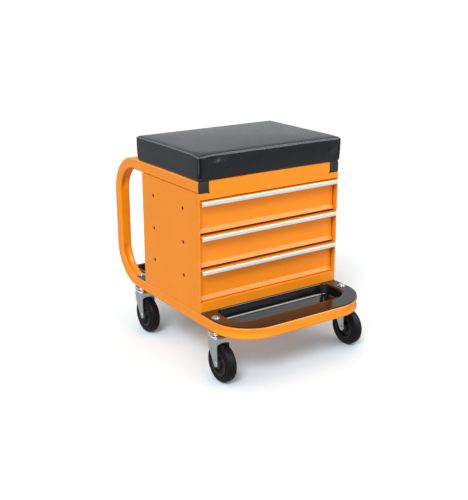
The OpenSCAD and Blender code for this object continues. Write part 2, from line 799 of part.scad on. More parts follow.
// Riveted axle through both legs, with the bush that the hub turns on
module axle() {
    half = fork_gap / 2 + fork_t;
    color("silver") translate([0, -trail, axle_z]) rotate([0, 90, 0]) {
        translate([0, 0, -half - rivet_h]) cylinder(h = rivet_h, r1 = rivet_r - 1, r2 = rivet_r);
        translate([0, 0, -half]) cylinder(h = 2 * half, r = axle_r);
        translate([0, 0, half]) cylinder(h = rivet_h, r1 = rivet_r, r2 = rivet_r - 1);
        translate([0, 0, -fork_gap / 2]) cylinder(h = fork_gap, r = bush_r);
    }
}

module hub() {
    half = fork_gap / 2 - hub_play;
    rim_half = wheel_w / 2 - 1.5;
    color("#3a3b3e") translate([0, -trail, axle_z]) rotate([0, 90, 0]) rotate_extrude() {
        translate([bush_r + fit_gap, -half]) square([boss_r - bush_r - fit_gap, 2 * half]);
        translate([boss_r - 1, -web_t / 2]) square([hub_r - boss_r, web_t]);
        translate([hub_r - rim_t, -rim_half]) square([rim_t, 2 * rim_half]);
    }
}

module tyre() {
    r = wheel_d / 2;
    half = wheel_w / 2;
    color("#17181a") translate([0, -trail, axle_z]) rotate([0, 90, 0]) rotate_extrude($fn = 120) {
        translate([hub_r, -half]) square([r - shoulder_r - hub_r, 2 * half]);
        translate([hub_r, -(half - shoulder_r)]) square([r - hub_r, 2 * (half - shoulder_r)]);
        intersection() {
            for (s = [-1, 1])
                translate([r - shoulder_r, s * (half - shoulder_r)]) circle(shoulder_r);
            translate([hub_r, -half]) square([r - hub_r, 2 * half]);
        }
    }
}

frame_tube();
end_cap(-1);  // end_cap_left
end_cap(1);  // end_cap_right
side_panel(-1);  // side_panel_left
side_panel(1);  // side_panel_right
back_panel();
top_rail();
kick_rail();
base_panel();
seat_board();
seat_cushion();
seat_screws();
front_tray();
rear_tray();
castor_bolts();
castor_washers();
castor_nuts();
slide_screws();
at_drawer(1) slide_outer();  // slide_outer_1
at_drawer(2) slide_outer();  // slide_outer_2
at_drawer(3) slide_outer();  // slide_outer_3
at_castor(0) castor_head();  // castor_head_fl
at_castor(1) castor_head();  // castor_head_fr
at_castor(2) castor_head();  // castor_head_rl
at_castor(3) castor_head();  // castor_head_rr
castor_balls();
at_drawer(1) drawer_box();  // drawer_box_1
at_drawer(1) drawer_front();  // drawer_front_1
at_drawer(1) handle_strip();  // handle_strip_1
at_drawer(1) slide_inner();  // slide_inner_1
at_drawer(1) slide_mid();  // slide_mid_1
at_drawer(1) slide_balls();  // slide_balls_1
at_drawer(2) drawer_box();  // drawer_box_2
at_drawer(2) drawer_front();  // drawer_front_2
at_drawer(2) handle_strip();  // handle_strip_2
at_drawer(2) slide_inner();  // slide_inner_2
at_drawer(2) slide_mid();  // slide_mid_2
at_drawer(2) slide_balls();  // slide_balls_2
at_drawer(3) drawer_box();  // drawer_box_3
at_drawer(3) drawer_front();  // drawer_front_3
at_drawer(3) handle_strip();  // handle_strip_3
at_drawer(3) slide_inner();  // slide_inner_3
at_drawer(3) slide_mid();  // slide_mid_3
at_drawer(3) slide_balls();  // slide_balls_3
at_castor(0) fork();  // fork_fl
at_castor(0) axle();  // axle_fl
at_castor(0) hub();  // hub_fl
at_castor(0) tyre();  // tyre_fl
at_castor(1) fork();  // fork_fr
at_castor(1) axle();  // axle_fr
at_castor(1) hub();  // hub_fr
at_castor(1) tyre();  // tyre_fr
at_castor(2) fork();  // fork_rl
at_castor(2) axle();  // axle_rl
at_castor(2) hub();  // hub_rl
at_castor(2) tyre();  // tyre_rl
at_castor(3) fork();  // fork_rr
at_castor(3) axle();  // axle_rr
at_castor(3) hub();  // hub_rr
at_castor(3) tyre();  // tyre_rr
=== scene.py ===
"""Looks of a wheeled creeper stool with three drawers.

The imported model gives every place. This script puts finished pieces over its solids: a bent tube
frame with caved bends, folded sheet metal, drawn plastic trays, a padded seat and pressed castors.
Sizes are in metres. The front of the stool faces -Y, X runs to the right, Z is up.
"""
import itertools
import json
import math

import bmesh
import bpy
import numpy as np
from mathutils import Matrix, Vector, noise

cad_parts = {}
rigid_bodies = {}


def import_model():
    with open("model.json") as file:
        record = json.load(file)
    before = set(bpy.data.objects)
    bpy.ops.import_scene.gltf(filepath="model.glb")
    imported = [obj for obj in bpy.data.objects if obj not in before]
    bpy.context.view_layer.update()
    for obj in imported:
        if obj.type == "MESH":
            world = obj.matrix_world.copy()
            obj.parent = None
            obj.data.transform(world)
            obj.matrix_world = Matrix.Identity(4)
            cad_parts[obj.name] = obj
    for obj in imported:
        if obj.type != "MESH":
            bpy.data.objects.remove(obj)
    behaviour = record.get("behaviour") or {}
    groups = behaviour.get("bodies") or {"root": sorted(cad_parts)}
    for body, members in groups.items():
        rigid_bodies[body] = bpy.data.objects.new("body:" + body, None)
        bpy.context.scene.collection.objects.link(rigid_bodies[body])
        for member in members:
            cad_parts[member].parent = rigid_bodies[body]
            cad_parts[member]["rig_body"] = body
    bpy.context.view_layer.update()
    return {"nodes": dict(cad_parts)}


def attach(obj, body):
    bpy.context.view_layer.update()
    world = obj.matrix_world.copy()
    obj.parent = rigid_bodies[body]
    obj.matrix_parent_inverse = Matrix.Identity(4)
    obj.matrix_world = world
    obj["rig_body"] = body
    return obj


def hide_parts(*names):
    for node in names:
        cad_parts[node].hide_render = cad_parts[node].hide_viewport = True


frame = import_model()
nodes = frame["nodes"]

# Cabinet and frame tube. The base and top runs' middles lie half a tube below their upper faces
CABINET_W = 0.365
CABINET_D = 0.236
CABINET_H = 0.257
SHEET = 0.0012
TUBE = 0.025
TUBE_CORNER = 0.004
BEND_R = 0.0775
REACH = 0.135
CASTOR_TOP = 0.104
BASE_TOP = CASTOR_TOP + TUBE
SEAT_Z = BASE_TOP + CABINET_H + TUBE
SIDE_X = CABINET_W / 2 - TUBE / 2
FRONT_Y = -CABINET_D / 2
BACK_Y = CABINET_D / 2
LOOP_Y = BACK_Y + REACH - TUBE / 2
BASE_Z = BASE_TOP - TUBE / 2
TOP_Z = SEAT_Z - TUBE / 2
CAP_T = 0.002
CAP_PLUG = 0.0148

# Drawers, counted from 1 at the top, with their faces set back and their strips standing out
DRAWER_PITCH = 0.22 / 3
DRAWER_FOOT = BASE_TOP + 0.025
FRONT_H = DRAWER_PITCH - 0.003
FRONT_HALF = 0.1783
FACE_IN = 0.012
STRIP_OUT = 0.006
STRIP_T = 0.0015
FACE_Y = FRONT_Y + FACE_IN
LIP_Y = FRONT_Y - STRIP_OUT + STRIP_T

# Slides: the middle's height above a drawer's foot, the sheet, the balls' way and the screws' places
SLIDE_UP = 0.043
SLIDE_SHEET = 0.0012
SLIDE_RUN = 0.205
SLIDE_BALL_PITCH = 0.014
SLIDE_BALL_R = 0.0015
SLIDE_SCREWS = (0.064, 0.188)

# Rows of slide balls: depth from the panel, height from the slide's middle, share of the balls' way
SLIDE_BALL_ROWS = [(0.0054, 0.0147, 0.5), (0.0077, 0.0103, 0.1)]

# Trays and their pockets
TRAY_T = 0.0025
TRAY_TOP = BASE_TOP + TRAY_T
TRAY_EDGE = 0.0015
POCKET_DEPTH = 0.024
POCKET_LEAN = 0.006
POCKET_COVE = 0.006
POCKET_CORNER = 0.018
POCKET_IN = 0.0075
FRONT_POCKET = (-0.208, -0.123)
REAR_POCKET = (0.123, 0.227)
REAR_TRAY_END = 0.232
NEAR_RIM = 0.0014
FRONT_FAR_RIM = 0.0065
REAR_FAR_RIM = 0.0025

# Castors, each under one corner of the frame and bolted through a tray
CORNERS = {"fl": (-1, -1), "fr": (1, -1), "rl": (-1, 1), "rr": (1, 1)}
WASHER_T = 0.0012
BOLT_R = 0.004
BOLT_END = 0.002
NUT_DROP = 0.0181
CASTOR_Y = BACK_Y + 0.040
RACE_R = 0.017
RACE_H = 0.0062
CROWN_Z = CASTOR_TOP - RACE_H
TRAIL = 0.024
WHEEL_R = 0.0415
AXLE_Z = WHEEL_R
FORK_T = 0.0025
FORK_GAP = 0.0145
FORK_HALF = FORK_GAP + FORK_T
KING_R = 0.007
FORK_FRONT = 0.028
FORK_BACK = 0.004
FORK_KNEE = 0.020
APRON_GAP = 0.0035
APRON_ARCH = 0.005
BALL_RING = 0.0125
SWIVEL_BALL_R = 0.00175
TIP_R = 0.007
FOLD_R = 0.004
RIB = 0.0006
LEG_HOLE_R = 0.0016
LEG_HOLE_UP = 0.0095

# Seat
SEAT_W = CABINET_W + 0.005
SEAT_D = CABINET_D + 0.025
SEAT_Y = 0.0075
SEAT_H = 0.055
SEAT_RISE = 0.002
SEAT_DRAW = 0.0015
SEAT_PULL = 0.0015
SEAT_TUCK = 0.002
SEAT_CLEAR = 0.0002
SEAT_EDGE = 0.006
SEAT_GRID = 0.0055
SEAT_SWELL = 0.004
SEAT_SLOPE = 0.0026
SEAT_DROOP = 0.0035
SEAT_BELLY = 0.0030
PLEAT_IN = 0.0050
PLEAT_BOW = 0.0012
PLEAT_DEEP = 0.0058
PLEAT_OUT = 0.0016
CREASE = 0.0006

# The cover as the cloth solver takes it
COVER = {"quality": 6, "mass": 0.4, "tension_stiffness": 20, "compression_stiffness": 20,
         "shear_stiffness": 10, "bending_stiffness": 1, "use_pressure": True,
         "uniform_pressure_force": 4}

# Ridges of the cover's front: place along X, share of the height, slant, length, width and lift
RIDGES = [
    (0.156, 0.60, 34, 0.020, 0.0070, 0.0020), (0.172, 0.36, 75, 0.016, 0.0050, -0.0016),
    (0.128, 0.54, -30, 0.016, 0.0050, -0.0012), (-0.150, 0.58, 14, 0.024, 0.0075, 0.0016),
    (-0.146, 0.44, 62, 0.014, 0.0050, 0.0012), (-0.126, 0.56, 40, 0.014, 0.0050, 0.0010),
    (-0.160, 0.28, 80, 0.012, 0.0040, -0.0012), (-0.118, 0.36, 28, 0.012, 0.0040, 0.0010),
]

# Lamps: the way towards each, how wide it spreads in degrees, its power and what it lights
LAMPS = [
    ("key", (-1.25, -1.15, 1.6), 22, 2.30, "all"),
    ("front_fill", (0.3, -1.0, 0.12), 60, 0.75, "matt"),
    ("card_low", (0.535, -0.64, 0.55), 30, 1.2, "gloss"),
    ("card_high", (0.535, -0.32, 0.78), 30, 1.3, "gloss"),
    ("card_left", (-0.31, 0.79, 0.53), 24, 0.22, "gloss"),
]
WORLD_LIGHT = 0.50
WORLD_WHITE = 1.06
GLOSS_NEAR = 0.36
GLOSS_FAR = 0.70
FLOOR_HALF = 6.0
FLOOR_GLOSS = 0.45
FLOOR_GLOW = 1.40
FLOOR_GLOW_SHARE = 0.17
SHADE_REACH = 0.16

# Camera: its place, the way it looks and its lens in millimetres
CAMERA_AT = (-1.055594, -1.526325, 0.810590)
CAMERA_WAY = (0.534786, 0.785906, -0.310412)
CAMERA_LENS = 61.7


class Value:
    """An output socket that takes part in sums. Each operator adds its node."""

    def __init__(self, web, socket):
        self.web = web
        self.socket = socket

    def sum(self, operation, left, right):
        terms = [left, right]
        if any(isinstance(t, Value) and t.socket.type == "VECTOR" for t in terms):
            terms = [(t, t, t) if isinstance(t, (int, float)) else t for t in terms]
            return self.web.node("ShaderNodeVectorMath", terms, operation=operation)
        return self.web.node("ShaderNodeMath", terms, operation=operation)

    def __add__(self, other):
        return self.sum("ADD", self, other)

    __radd__ = __add__

    def __sub__(self, other):
        return self.sum("SUBTRACT", self, other)

    def __rsub__(self, other):
        return self.sum("SUBTRACT", other, self)

    def __mul__(self, other):
        return self.sum("MULTIPLY", self, other)

    def __truediv__(self, other):
        return self.sum("DIVIDE", self, other)

    def length(self):
        return self.web.node("ShaderNodeVectorMath", [self], "Value", operation="LENGTH")

    def dot(self, other):
        settings = {"operation": "DOT_PRODUCT"}
        return self.web.node("ShaderNodeVectorMath", [self, other], "Value", **settings)

    def ease(self, low, high):
        """0 below low and 1 above high, with a soft step between."""
        names = ("Value", "From Min", "From Max")
        inputs = dict(zip(names, (self, low, high)))
        return self.web.node("ShaderNodeMapRange", inputs, interpolation_type="SMOOTHSTEP")


class Web:
    """A node tree, with the one way in which nodes are put into it."""

    def __init__(self, tree):
        self.tree = tree

    def node(self, kind, inputs=(), output=0, **settings):
        """A node with its inputs, given in order or by name. Returns one of its outputs."""
        made = self.tree.nodes.new(kind)
        for name, value in settings.items():
            setattr(made, name, value)
        pairs = inputs.items() if isinstance(inputs, dict) else enumerate(inputs)
        for key, value in pairs:
            if isinstance(value, Value):
                self.tree.links.new(value.socket, made.inputs[key])
            else:
                made.inputs[key].default_value = value
        return Value(self, made.outputs[output]) if len(made.outputs) else made

    def mix(self, factor, first, second):
        """Colour between first and second."""
        ends = [(*c, 1) if isinstance(c, tuple) else c for c in (first, second)]
        settings = {"data_type": "RGBA", "clamp_factor": True}
        return self.node("ShaderNodeMix", {0: factor, 6: ends[0], 7: ends[1]}, 2, **settings)

    def attribute(self, name):
        """A vector that the points carry."""
        settings = {"data_type": "FLOAT_VECTOR"}
        return self.node("GeometryNodeInputNamedAttribute", {"Name": name}, **settings)

    def background(self, colour, strength):
        return self.node("ShaderNodeBackground", {"Color": colour, "Strength": strength})

    def mixed(self, factor, first, second):
        """Surface between first and second."""
        return self.node("ShaderNodeMixShader", [factor, first, second])

    def end(self, geometry, material):
        """Ends a geometry tree: real geometry in its finish."""
        geometry = self.node("GeometryNodeRealizeInstances", [geometry])
        geometry = self.node("GeometryNodeSetMaterial", {"Geometry": geometry, "Material": material})
        self.node("NodeGroupOutput", [geometry])


class Finish(Web):
    """A material with one principled shader, whose place comes from object coordinates."""

    def __init__(self, name, slot):
        self.material = bpy.data.materials.new(name)
        self.material.use_nodes = True
        self.slot = slot
        super().__init__(self.material.node_tree)
        self.tree.nodes.clear()
        self.place = self.node("ShaderNodeTexCoord", output="Object")

    def noise(self, size, detail, squeeze=None):
        """Cloudy value with features of about the size given, in metres, squeezed along the axes."""
        place = self.place
        if squeeze:
            place = self.node("ShaderNodeMapping", {"Vector": place, "Scale": squeeze})
        inputs = {"Vector": place, "Scale": 1 / size, "Detail": detail, "Roughness": 0.5}
        return self.node("ShaderNodeTexNoise", inputs)

    def relief(self, height, depth, strength):
        """Bumps of a height value between 0 and 1, as deep as given in metres."""
        inputs = {"Height": height, "Distance": depth, "Strength": strength}
        return self.node("ShaderNodeBump", inputs)

    def close(self, **surface):
        """Puts the values on the shader and joins it to the output."""
        inputs = {name.replace("_", " "): value for name, value in surface.items()}
        shader = self.node("ShaderNodeBsdfPrincipled", inputs)
        self.node("ShaderNodeOutputMaterial", {"Surface": shader})
        return self

    def carried(self, name):
        """A value that the mesh's points carry."""
        return self.node("ShaderNodeAttribute", {}, "Fac", attribute_name=name)


def orange_paint(name, slot, green, roughness=0.28, gap_shade=False):
    """Powder coat: faint clouds, a fine ripple and a few pin specks; on request, painted shade darkens
    the top edge of each drawer front, in the gaps between drawers.
    """
    f = Finish(name, slot)
    cloud = f.noise(0.09, 3)
    ripple = f.noise(0.0016, 1.5)
    speck = f.noise(0.0005, 0).ease(0.72, 0.78)
    tone = f.mix(cloud.ease(0.3, 0.7), (0.92, green - 0.015, 0.006), (0.94, green, 0.008))
    tone = f.mix(speck * 0.12, tone, (1.0, 0.55, 0.20))
    if gap_shade:
        # Painted shade: from about a millimetre below each drawer front's top up to the next drawer's
        # foot, the paint turns dark brown, standing in for the shadow in the gaps between drawers.
        height = f.node("ShaderNodeSeparateXYZ", [f.place], "Z")
        turns = (height - DRAWER_FOOT) * (1 / DRAWER_PITCH)
        step = f.node("ShaderNodeMath", [turns], operation="FRACT")
        high = step.ease((FRONT_H - 0.0012) / DRAWER_PITCH, (FRONT_H - 0.0006) / DRAWER_PITCH)
        tone = f.mix(high * 0.8, tone, (0.10, 0.02, 0.002))
    return f.close(
        Base_Color=tone,
        Roughness=roughness + cloud * 0.10 + speck * 0.05,
        Specular_IOR_Level=0.32,
        Normal=f.relief(ripple, 0.00003, 0.5),
    )


def grained_vinyl():
    """Leatherette: rounded pebbles parted by fine creases, a little shinier on their tops."""
    f = Finish("black_vinyl", "vinyl")
    warp = f.noise(0.004, 2)
    bent = f.place + warp * 0.0012
    cell = f.node("ShaderNodeTexVoronoi", {"Vector": bent, "Scale": 1 / 0.0014},
                  feature="DISTANCE_TO_EDGE")
    pebble = cell.ease(0.0, 0.22)
    fine = f.noise(0.0003, 2)
    cloud = f.noise(0.06, 3)
    fold = f.carried("fold")
    painted_edge_highlight = f.carried("painted_edge_highlight")
    tone = f.mix(pebble * 0.7 + cloud * 0.3, (0.005, 0.0055, 0.007), (0.010, 0.011, 0.013))
    # Painted highlight: a light grey band along the rolled edges of the top, mottled by the clouds,
    # stands in for the gloss on those edges.
    tone = f.mix(painted_edge_highlight * (0.4 + cloud * 0.6), tone, (0.17, 0.178, 0.19))
    # Painted shade: where the fold mask is high, in the pleats' slits, the vinyl goes near black and
    # rough, standing in for the slits' shadow.
    return f.close(
        Base_Color=f.mix(fold, tone, (0.0005, 0.0005, 0.0005)),
        Roughness=0.24 - pebble * 0.08 + cloud * 0.08 + fold * 0.6,
        Specular_IOR_Level=0.5,
        Specular_Tint=(0.88, 0.94, 1.0, 1.0),
        Normal=f.relief(pebble * 0.8 + fine * 0.2, 0.00006, 0.4),
    )


def drawn_plastic():
    """Glossy sheet drawn into a mould: very slow waves and the odd fine scuff."""
    f = Finish("tray_black", "tray_plastic")
    wave = f.noise(0.03, 1)
    scuff = f.noise(0.002, 3, (1, 6, 1)).ease(0.62, 0.8)
    return f.close(
        Base_Color=f.mix(wave, (0.003, 0.003, 0.003), (0.005, 0.005, 0.005)),
        Roughness=0.13 + scuff * 0.12 + wave * 0.04,
        Specular_IOR_Level=0.62,
        Normal=f.relief(wave, 0.00015, 0.4),
    )


def moulded(name, slot, dark, light, grain, roughness):
    """Moulded plastic with a fine spark-eroded grain."""
    f = Finish(name, slot)
    grit = f.noise(grain, 2)
    cloud = f.noise(0.02, 2)
    return f.close(
        Base_Color=f.mix(cloud * 0.6 + grit * 0.4, dark, light),
        Roughness=roughness - 0.08 + grit * 0.16,
        Normal=f.relief(grit, 0.00005, 0.6),
    )


def plated_steel(name, slot, dull, bright, roughness):
    """Zinc plate: soft blue-white clouds, faint rolling lines and a crystalline speckle."""
    f = Finish(name, slot)
    cloud = f.noise(0.012, 3)
    line = f.noise(0.0009, 2, (1, 1, 0.06))
    speck = f.noise(0.0006, 1)
    return f.close(
        Base_Color=f.mix(cloud * 0.7 + speck * 0.3, dull, bright),
        Metallic=1.0,
        Roughness=roughness + cloud * 0.12 + line * 0.06,
        Normal=f.relief(line * 0.5 + speck * 0.5, 0.00002, 0.4),
    )


def brushed_aluminium():
    """Satin anodised profile, brushed along its length."""
    f = Finish("strip_silver", "strip_aluminium")
    stroke = f.noise(0.00045, 3, (0.012, 1, 1))
    cloud = f.noise(0.05, 2)
    return f.close(
        Base_Color=f.mix(stroke, (0.88, 0.88, 0.87), (0.96, 0.96, 0.95)),
        Metallic=0.5,
        Roughness=0.28 + stroke * 0.10 + cloud * 0.05,
        Normal=f.relief(stroke, 0.00002, 0.5),
    )


def solid_rubber():
    """Tyre: dry matt rubber with a bloom that gathers in its pores."""
    f = Finish("tyre_black", "tyre_rubber")
    bloom = f.noise(0.010, 4)
    pore = f.noise(0.0004, 2)
    return f.close(
        Base_Color=f.mix(bloom.ease(0.35, 0.75), (0.003, 0.003, 0.004), (0.006, 0.006, 0.007)),
        Roughness=0.46 + bloom * 0.15,
        Specular_IOR_Level=0.2,
        Normal=f.relief(pore, 0.00005, 0.6),
    )


def birch_ply():
    """Board: long grain on its faces, stacked veneers along its edges."""
    f = Finish("board_birch", "board")
    grain = f.noise(0.0025, 4, (0.08, 1, 1))
    layer = f.node("ShaderNodeTexWave", {"Vector": f.place, "Scale": 1 / 0.0044, "Distortion": 0.3},
                   bands_direction="Z")
    tone = f.mix(grain.ease(0.3, 0.7), (0.42, 0.27, 0.13), (0.66, 0.48, 0.28))
    return f.close(
        Base_Color=f.mix(layer * 0.25, tone, (0.30, 0.18, 0.09)),
        Roughness=0.62 + grain * 0.1,
        Normal=f.relief(grain, 0.0001, 0.5),
    )


def bearing_steel():
    """Polished balls with a trace of grease on them."""
    f = Finish("ball_bright", "ball_steel")
    grease = f.noise(0.002, 2)
    return f.close(
        Base_Color=f.mix(grease, (0.66, 0.66, 0.67), (0.80, 0.80, 0.82)),
        Metallic=1.0,
        Roughness=0.10 + grease * 0.15,
    )


FRAME_PAINT = orange_paint("frame_orange", "frame_paint", 0.29, roughness=0.2)
CABINET_PAINT = orange_paint("cabinet_orange", "cabinet_paint", 0.285)
# The drawers' paint carries painted shade in the gaps between the drawers.
DRAWER_PAINT = orange_paint("drawer_orange", "drawer_paint", 0.28, gap_shade=True)
VINYL = grained_vinyl()
TRAY = drawn_plastic()
CAP = moulded("cap_black", "cap_plastic", (0.014, 0.015, 0.017), (0.024, 0.025, 0.028),
              grain=0.0007, roughness=0.48)
HUB = moulded("hub_grey", "hub_plastic", (0.012, 0.012, 0.013), (0.020, 0.020, 0.022),
              grain=0.0009, roughness=0.42)
CASTOR_ZINC = plated_steel("castor_silver", "castor_zinc", (0.62, 0.65, 0.67), (0.82, 0.85, 0.88), 0.26)
SLIDE_ZINC = plated_steel("slide_silver", "slide_zinc", (0.52, 0.53, 0.55), (0.68, 0.70, 0.72), 0.30)
FASTENER = plated_steel("fastener_silver", "fastener_zinc", (0.55, 0.56, 0.58), (0.76, 0.77, 0.79), 0.22)
SCREW = plated_steel("screw_dark", "screw_black", (0.020, 0.020, 0.021), (0.035, 0.035, 0.037), 0.40)
STRIP = brushed_aluminium()
RUBBER = solid_rubber()
BOARD = birch_ply()
BALL = bearing_steel()


def clamped(t):
    return min(1, max(0, t))


def smooth(t):
    """0 at 0 and 1 at 1, level at both."""
    return t * t * (3 - 2 * t)


def polar(radius, angle):
    return Vector((radius * math.cos(angle), radius * math.sin(angle)))


def outline(corners, radii, inset=0.0, steps=6):
    """Closed outline round the corners given, anticlockwise, with each corner rounded.

    It has the same number of points whatever the inset, which moves it inwards.
    """
    points = []
    count = len(corners)
    for i, corner in enumerate(corners):
        c = Vector(corner)
        u = (c - Vector(corners[i - 1])).normalized()
        v = (Vector(corners[(i + 1) % count]) - c).normalized()
        inward_u = Vector((-u.y, u.x))
        inward_v = Vector((-v.y, v.x))
        mitre = (inward_u + inward_v) / (1 + inward_u.dot(inward_v))
        side = 1 if u.x * v.y - u.y * v.x > 0 else -1
        radius = max(radii[i], side * inset + 0.00005)
        centre = c + side * mitre * radius
        start = math.atan2(*reversed(-side * inward_u))
        turn = u.angle_signed(v, 0) * -1
        for k in range(steps + 1):
            points.append(centre + polar(radius - side * inset, start + turn * k / steps))
    return points


def rectangle(x0, y0, x1, y1):
    return [(x0, y0), (x1, y0), (x1, y1), (x0, y1)]


class Shape:
    """Collects the shells of one piece and turns them into a mesh."""

    def __init__(self):
        self.bm = bmesh.new()

    def ring(self, points):
        return [self.bm.verts.new(p) for p in points]

    def fill(self, rings):
        """Closes both ends of a skin."""
        self.bm.faces.new(list(reversed(rings[0])))
        self.bm.faces.new(rings[-1])

    def skin(self, rings, closed=True):
        """Faces between rings of equal length."""
        for low, high in zip(rings, rings[1:]):
            count = len(low)
            for i in range(count if closed else count - 1):
                j = (i + 1) % count
                self.bm.faces.new((low[i], low[j], high[j], high[i]))

    def loft(self, loops):
        """A tube of skin through loops of points, with its two ends filled."""
        rings = [self.ring(loop) for loop in loops]
        self.skin(rings)
        self.fill(rings)

    def revolve(self, profile, centre, axis="Z", steps=64, close_profile=True):
        """Turns a profile of (radius, height) points about an axis through the centre."""
        rings = []
        for radius, height in profile:
            ring = []
            for k in range(steps):
                p = polar(radius, math.tau * k / steps)
                p = Vector((height, p.x, p.y)) if axis == "X" else Vector((p.x, p.y, height))
                ring.append(self.bm.verts.new(p + Vector(centre)))
            rings.append(ring)
        if close_profile:
            rings.append(rings[0])
        self.skin(rings)

    def mesh(self, name, angle=35):
        bmesh.ops.remove_doubles(self.bm, verts=self.bm.verts, dist=1e-6)
        bmesh.ops.recalc_face_normals(self.bm, faces=self.bm.faces)
        return to_mesh(self.bm, name, angle)


def to_mesh(bm, name, angle):
    mesh = bpy.data.meshes.new(name)
    bm.to_mesh(mesh)
    bm.free()
    return sharpened(mesh, angle)


def in_scene(name, data):
    """A new object that holds the data given."""
    made = bpy.data.objects.new(name, data)
    bpy.context.scene.collection.objects.link(made)
    return made


def put(mesh, name, finish, body, stands_for):
    """Makes the mesh a piece that rides on a body and stands for a CAD node."""
    piece = in_scene(name, mesh)
    mesh.materials.clear()
    mesh.materials.append(finish.material)
    mesh.polygons.foreach_set("material_index", [0] * len(mesh.polygons))
    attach(piece, body)
    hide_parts(stands_for)
    return piece


def bevel(width, segments, angle, **more):
    """The modifier that rounds edges sharper than an angle in degrees."""
    limit = {"limit_method": "ANGLE", "angle_limit": math.radians(angle)}
    return ("BEVEL", {"width": width, "segments": segments, **limit, **more})


def thickened(thickness):
    """The modifier that gives a skin its thickness, towards its inside."""
    return ("SOLIDIFY", {"thickness": thickness, "offset": -1, "use_even_offset": True})


def sharpened(mesh, angle):
    """Shades the mesh smooth, apart from edges sharper than an angle in degrees."""
    mesh.shade_smooth()
    mesh.set_sharp_from_angle(angle=math.radians(angle))
    return mesh


def settled(mesh, name, modifiers, angle):
    """The mesh with modifiers applied, given as (kind, settings) pairs."""
    bench = in_scene(name + "_bench", mesh)
    for kind, settings in modifiers:
        modifier = bench.modifiers.new(kind, kind)
        for key, value in settings.items():
            setattr(modifier, key, value)
    result = taken(bench, name)
    return sharpened(result, angle) if angle else result


def taken(bench, name):
    """The evaluated mesh of a bench object, which is then removed."""
    graph = bpy.context.evaluated_depsgraph_get()
    result = bpy.data.meshes.new_from_object(bench.evaluated_get(graph), depsgraph=graph)
    result.name = name
    bpy.data.objects.remove(bench)
    return result


def eased(node, finish, width, segments=2):
    """A copy of a CAD node with its edges eased, as bent and deburred sheet has."""
    source = nodes[node].data
    bm = bmesh.new()
    corners = [bm.verts.new(v.co) for v in source.vertices]
    for face in source.polygons:
        bm.faces.new([corners[i] for i in face.vertices])
    bmesh.ops.remove_doubles(bm, verts=bm.verts, dist=1e-6)
    bmesh.ops.dissolve_limit(bm, angle_limit=math.radians(0.5), verts=bm.verts, edges=bm.edges)
    mesh = to_mesh(bm, node + "_eased", 180)
    mesh = settled(mesh, node + "_eased", [bevel(width, segments, 40, harden_normals=True)], None)
    put(mesh, node + "_eased", finish, nodes[node]["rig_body"], node)


def tree_inputs(web, names):
    """Named inputs of a geometry tree, and the group's input node."""
    interface = web.tree.interface
    interface.new_socket("Geometry", in_out="INPUT", socket_type="NodeSocketGeometry")
    interface.new_socket("Geometry", in_out="OUTPUT", socket_type="NodeSocketGeometry")
    for name, kind in names:
        interface.new_socket(name, in_out="INPUT", socket_type="NodeSocket" + kind)
    entry = web.tree.nodes.new("NodeGroupInput")
    return {socket.name: Value(web, socket) for socket in entry.outputs if socket.name}


def grown(name, tree, start, values):
    """Plain mesh that a geometry tree makes from a first mesh, with its inputs set by name."""
    bench = in_scene(name + "_bench", start)
    modifier = bench.modifiers.new("grow", "NODES")
    modifier.node_group = tree
    for item in tree.interface.items_tree:
        if item.in_out == "INPUT" and item.name in values:
            modifier[item.identifier] = values[item.name]
    return taken(bench, name)


def carrier(name, points, edges, key, vectors):
    """A mesh of points and edges whose points carry a named vector each."""
    mesh = bpy.data.meshes.new(name)
    mesh.from_pydata(points, edges, [])
    layer = mesh.attributes.new(key, "FLOAT_VECTOR", "POINT")
    layer.data.foreach_set("vector", [c for vector in vectors for c in vector])
    return mesh


def tube_tree():
    """Sweeps a square tube along its path and caves in both walls of every bend."""
    web = Web(bpy.data.node_groups.new("bent_square_tube", "GeometryNodeTree"))
    names = [("Width", "Float"), ("Corner radius", "Float"), ("Outer dent", "Float"),
             ("Inner dent", "Float"), ("Finish", "Material")]
    given = tree_inputs(web, names)
    path = web.node("GeometryNodeMeshToCurve", {"Mesh": given["Geometry"]})
    place = web.node("GeometryNodeInputPosition")
    path = web.node("GeometryNodeStoreNamedAttribute",
                    {"Geometry": path, "Name": "middle", "Value": place}, data_type="FLOAT_VECTOR")
    square = web.node("GeometryNodeCurvePrimitiveQuadrilateral",
                      {"Width": given["Width"], "Height": given["Width"]})
    square = web.node("GeometryNodeFilletCurve",
                      {"Curve": square, "Radius": given["Corner radius"], "Count": 6}, mode="POLY")
    square = web.node("GeometryNodeResampleCurve", {"Curve": square, "Count": 88})
    tube = web.node("GeometryNodeCurveToMesh",
                    {"Curve": path, "Profile Curve": square, "Fill Caps": True})
    inward = web.attribute("inward")
    towards = web.node("ShaderNodeVectorMath", [inward], operation="NORMALIZE")
    arm = (place - web.attribute("middle")) / (given["Width"] * 0.5)
    across = arm.dot(towards)
    sideways = (arm - towards * across).length()
    groove = (1 - sideways.ease(0.0, 0.80)) * inward.length()
    outer = (0 - across).ease(0.55, 0.95) * given["Outer dent"]
    inner = across.ease(0.55, 0.95) * given["Inner dent"]
    shift = towards * (groove * (outer - inner))
    tube = web.node("GeometryNodeSetPosition", {"Geometry": tube, "Offset": shift})
    web.end(tube, given["Finish"])
    return web.tree


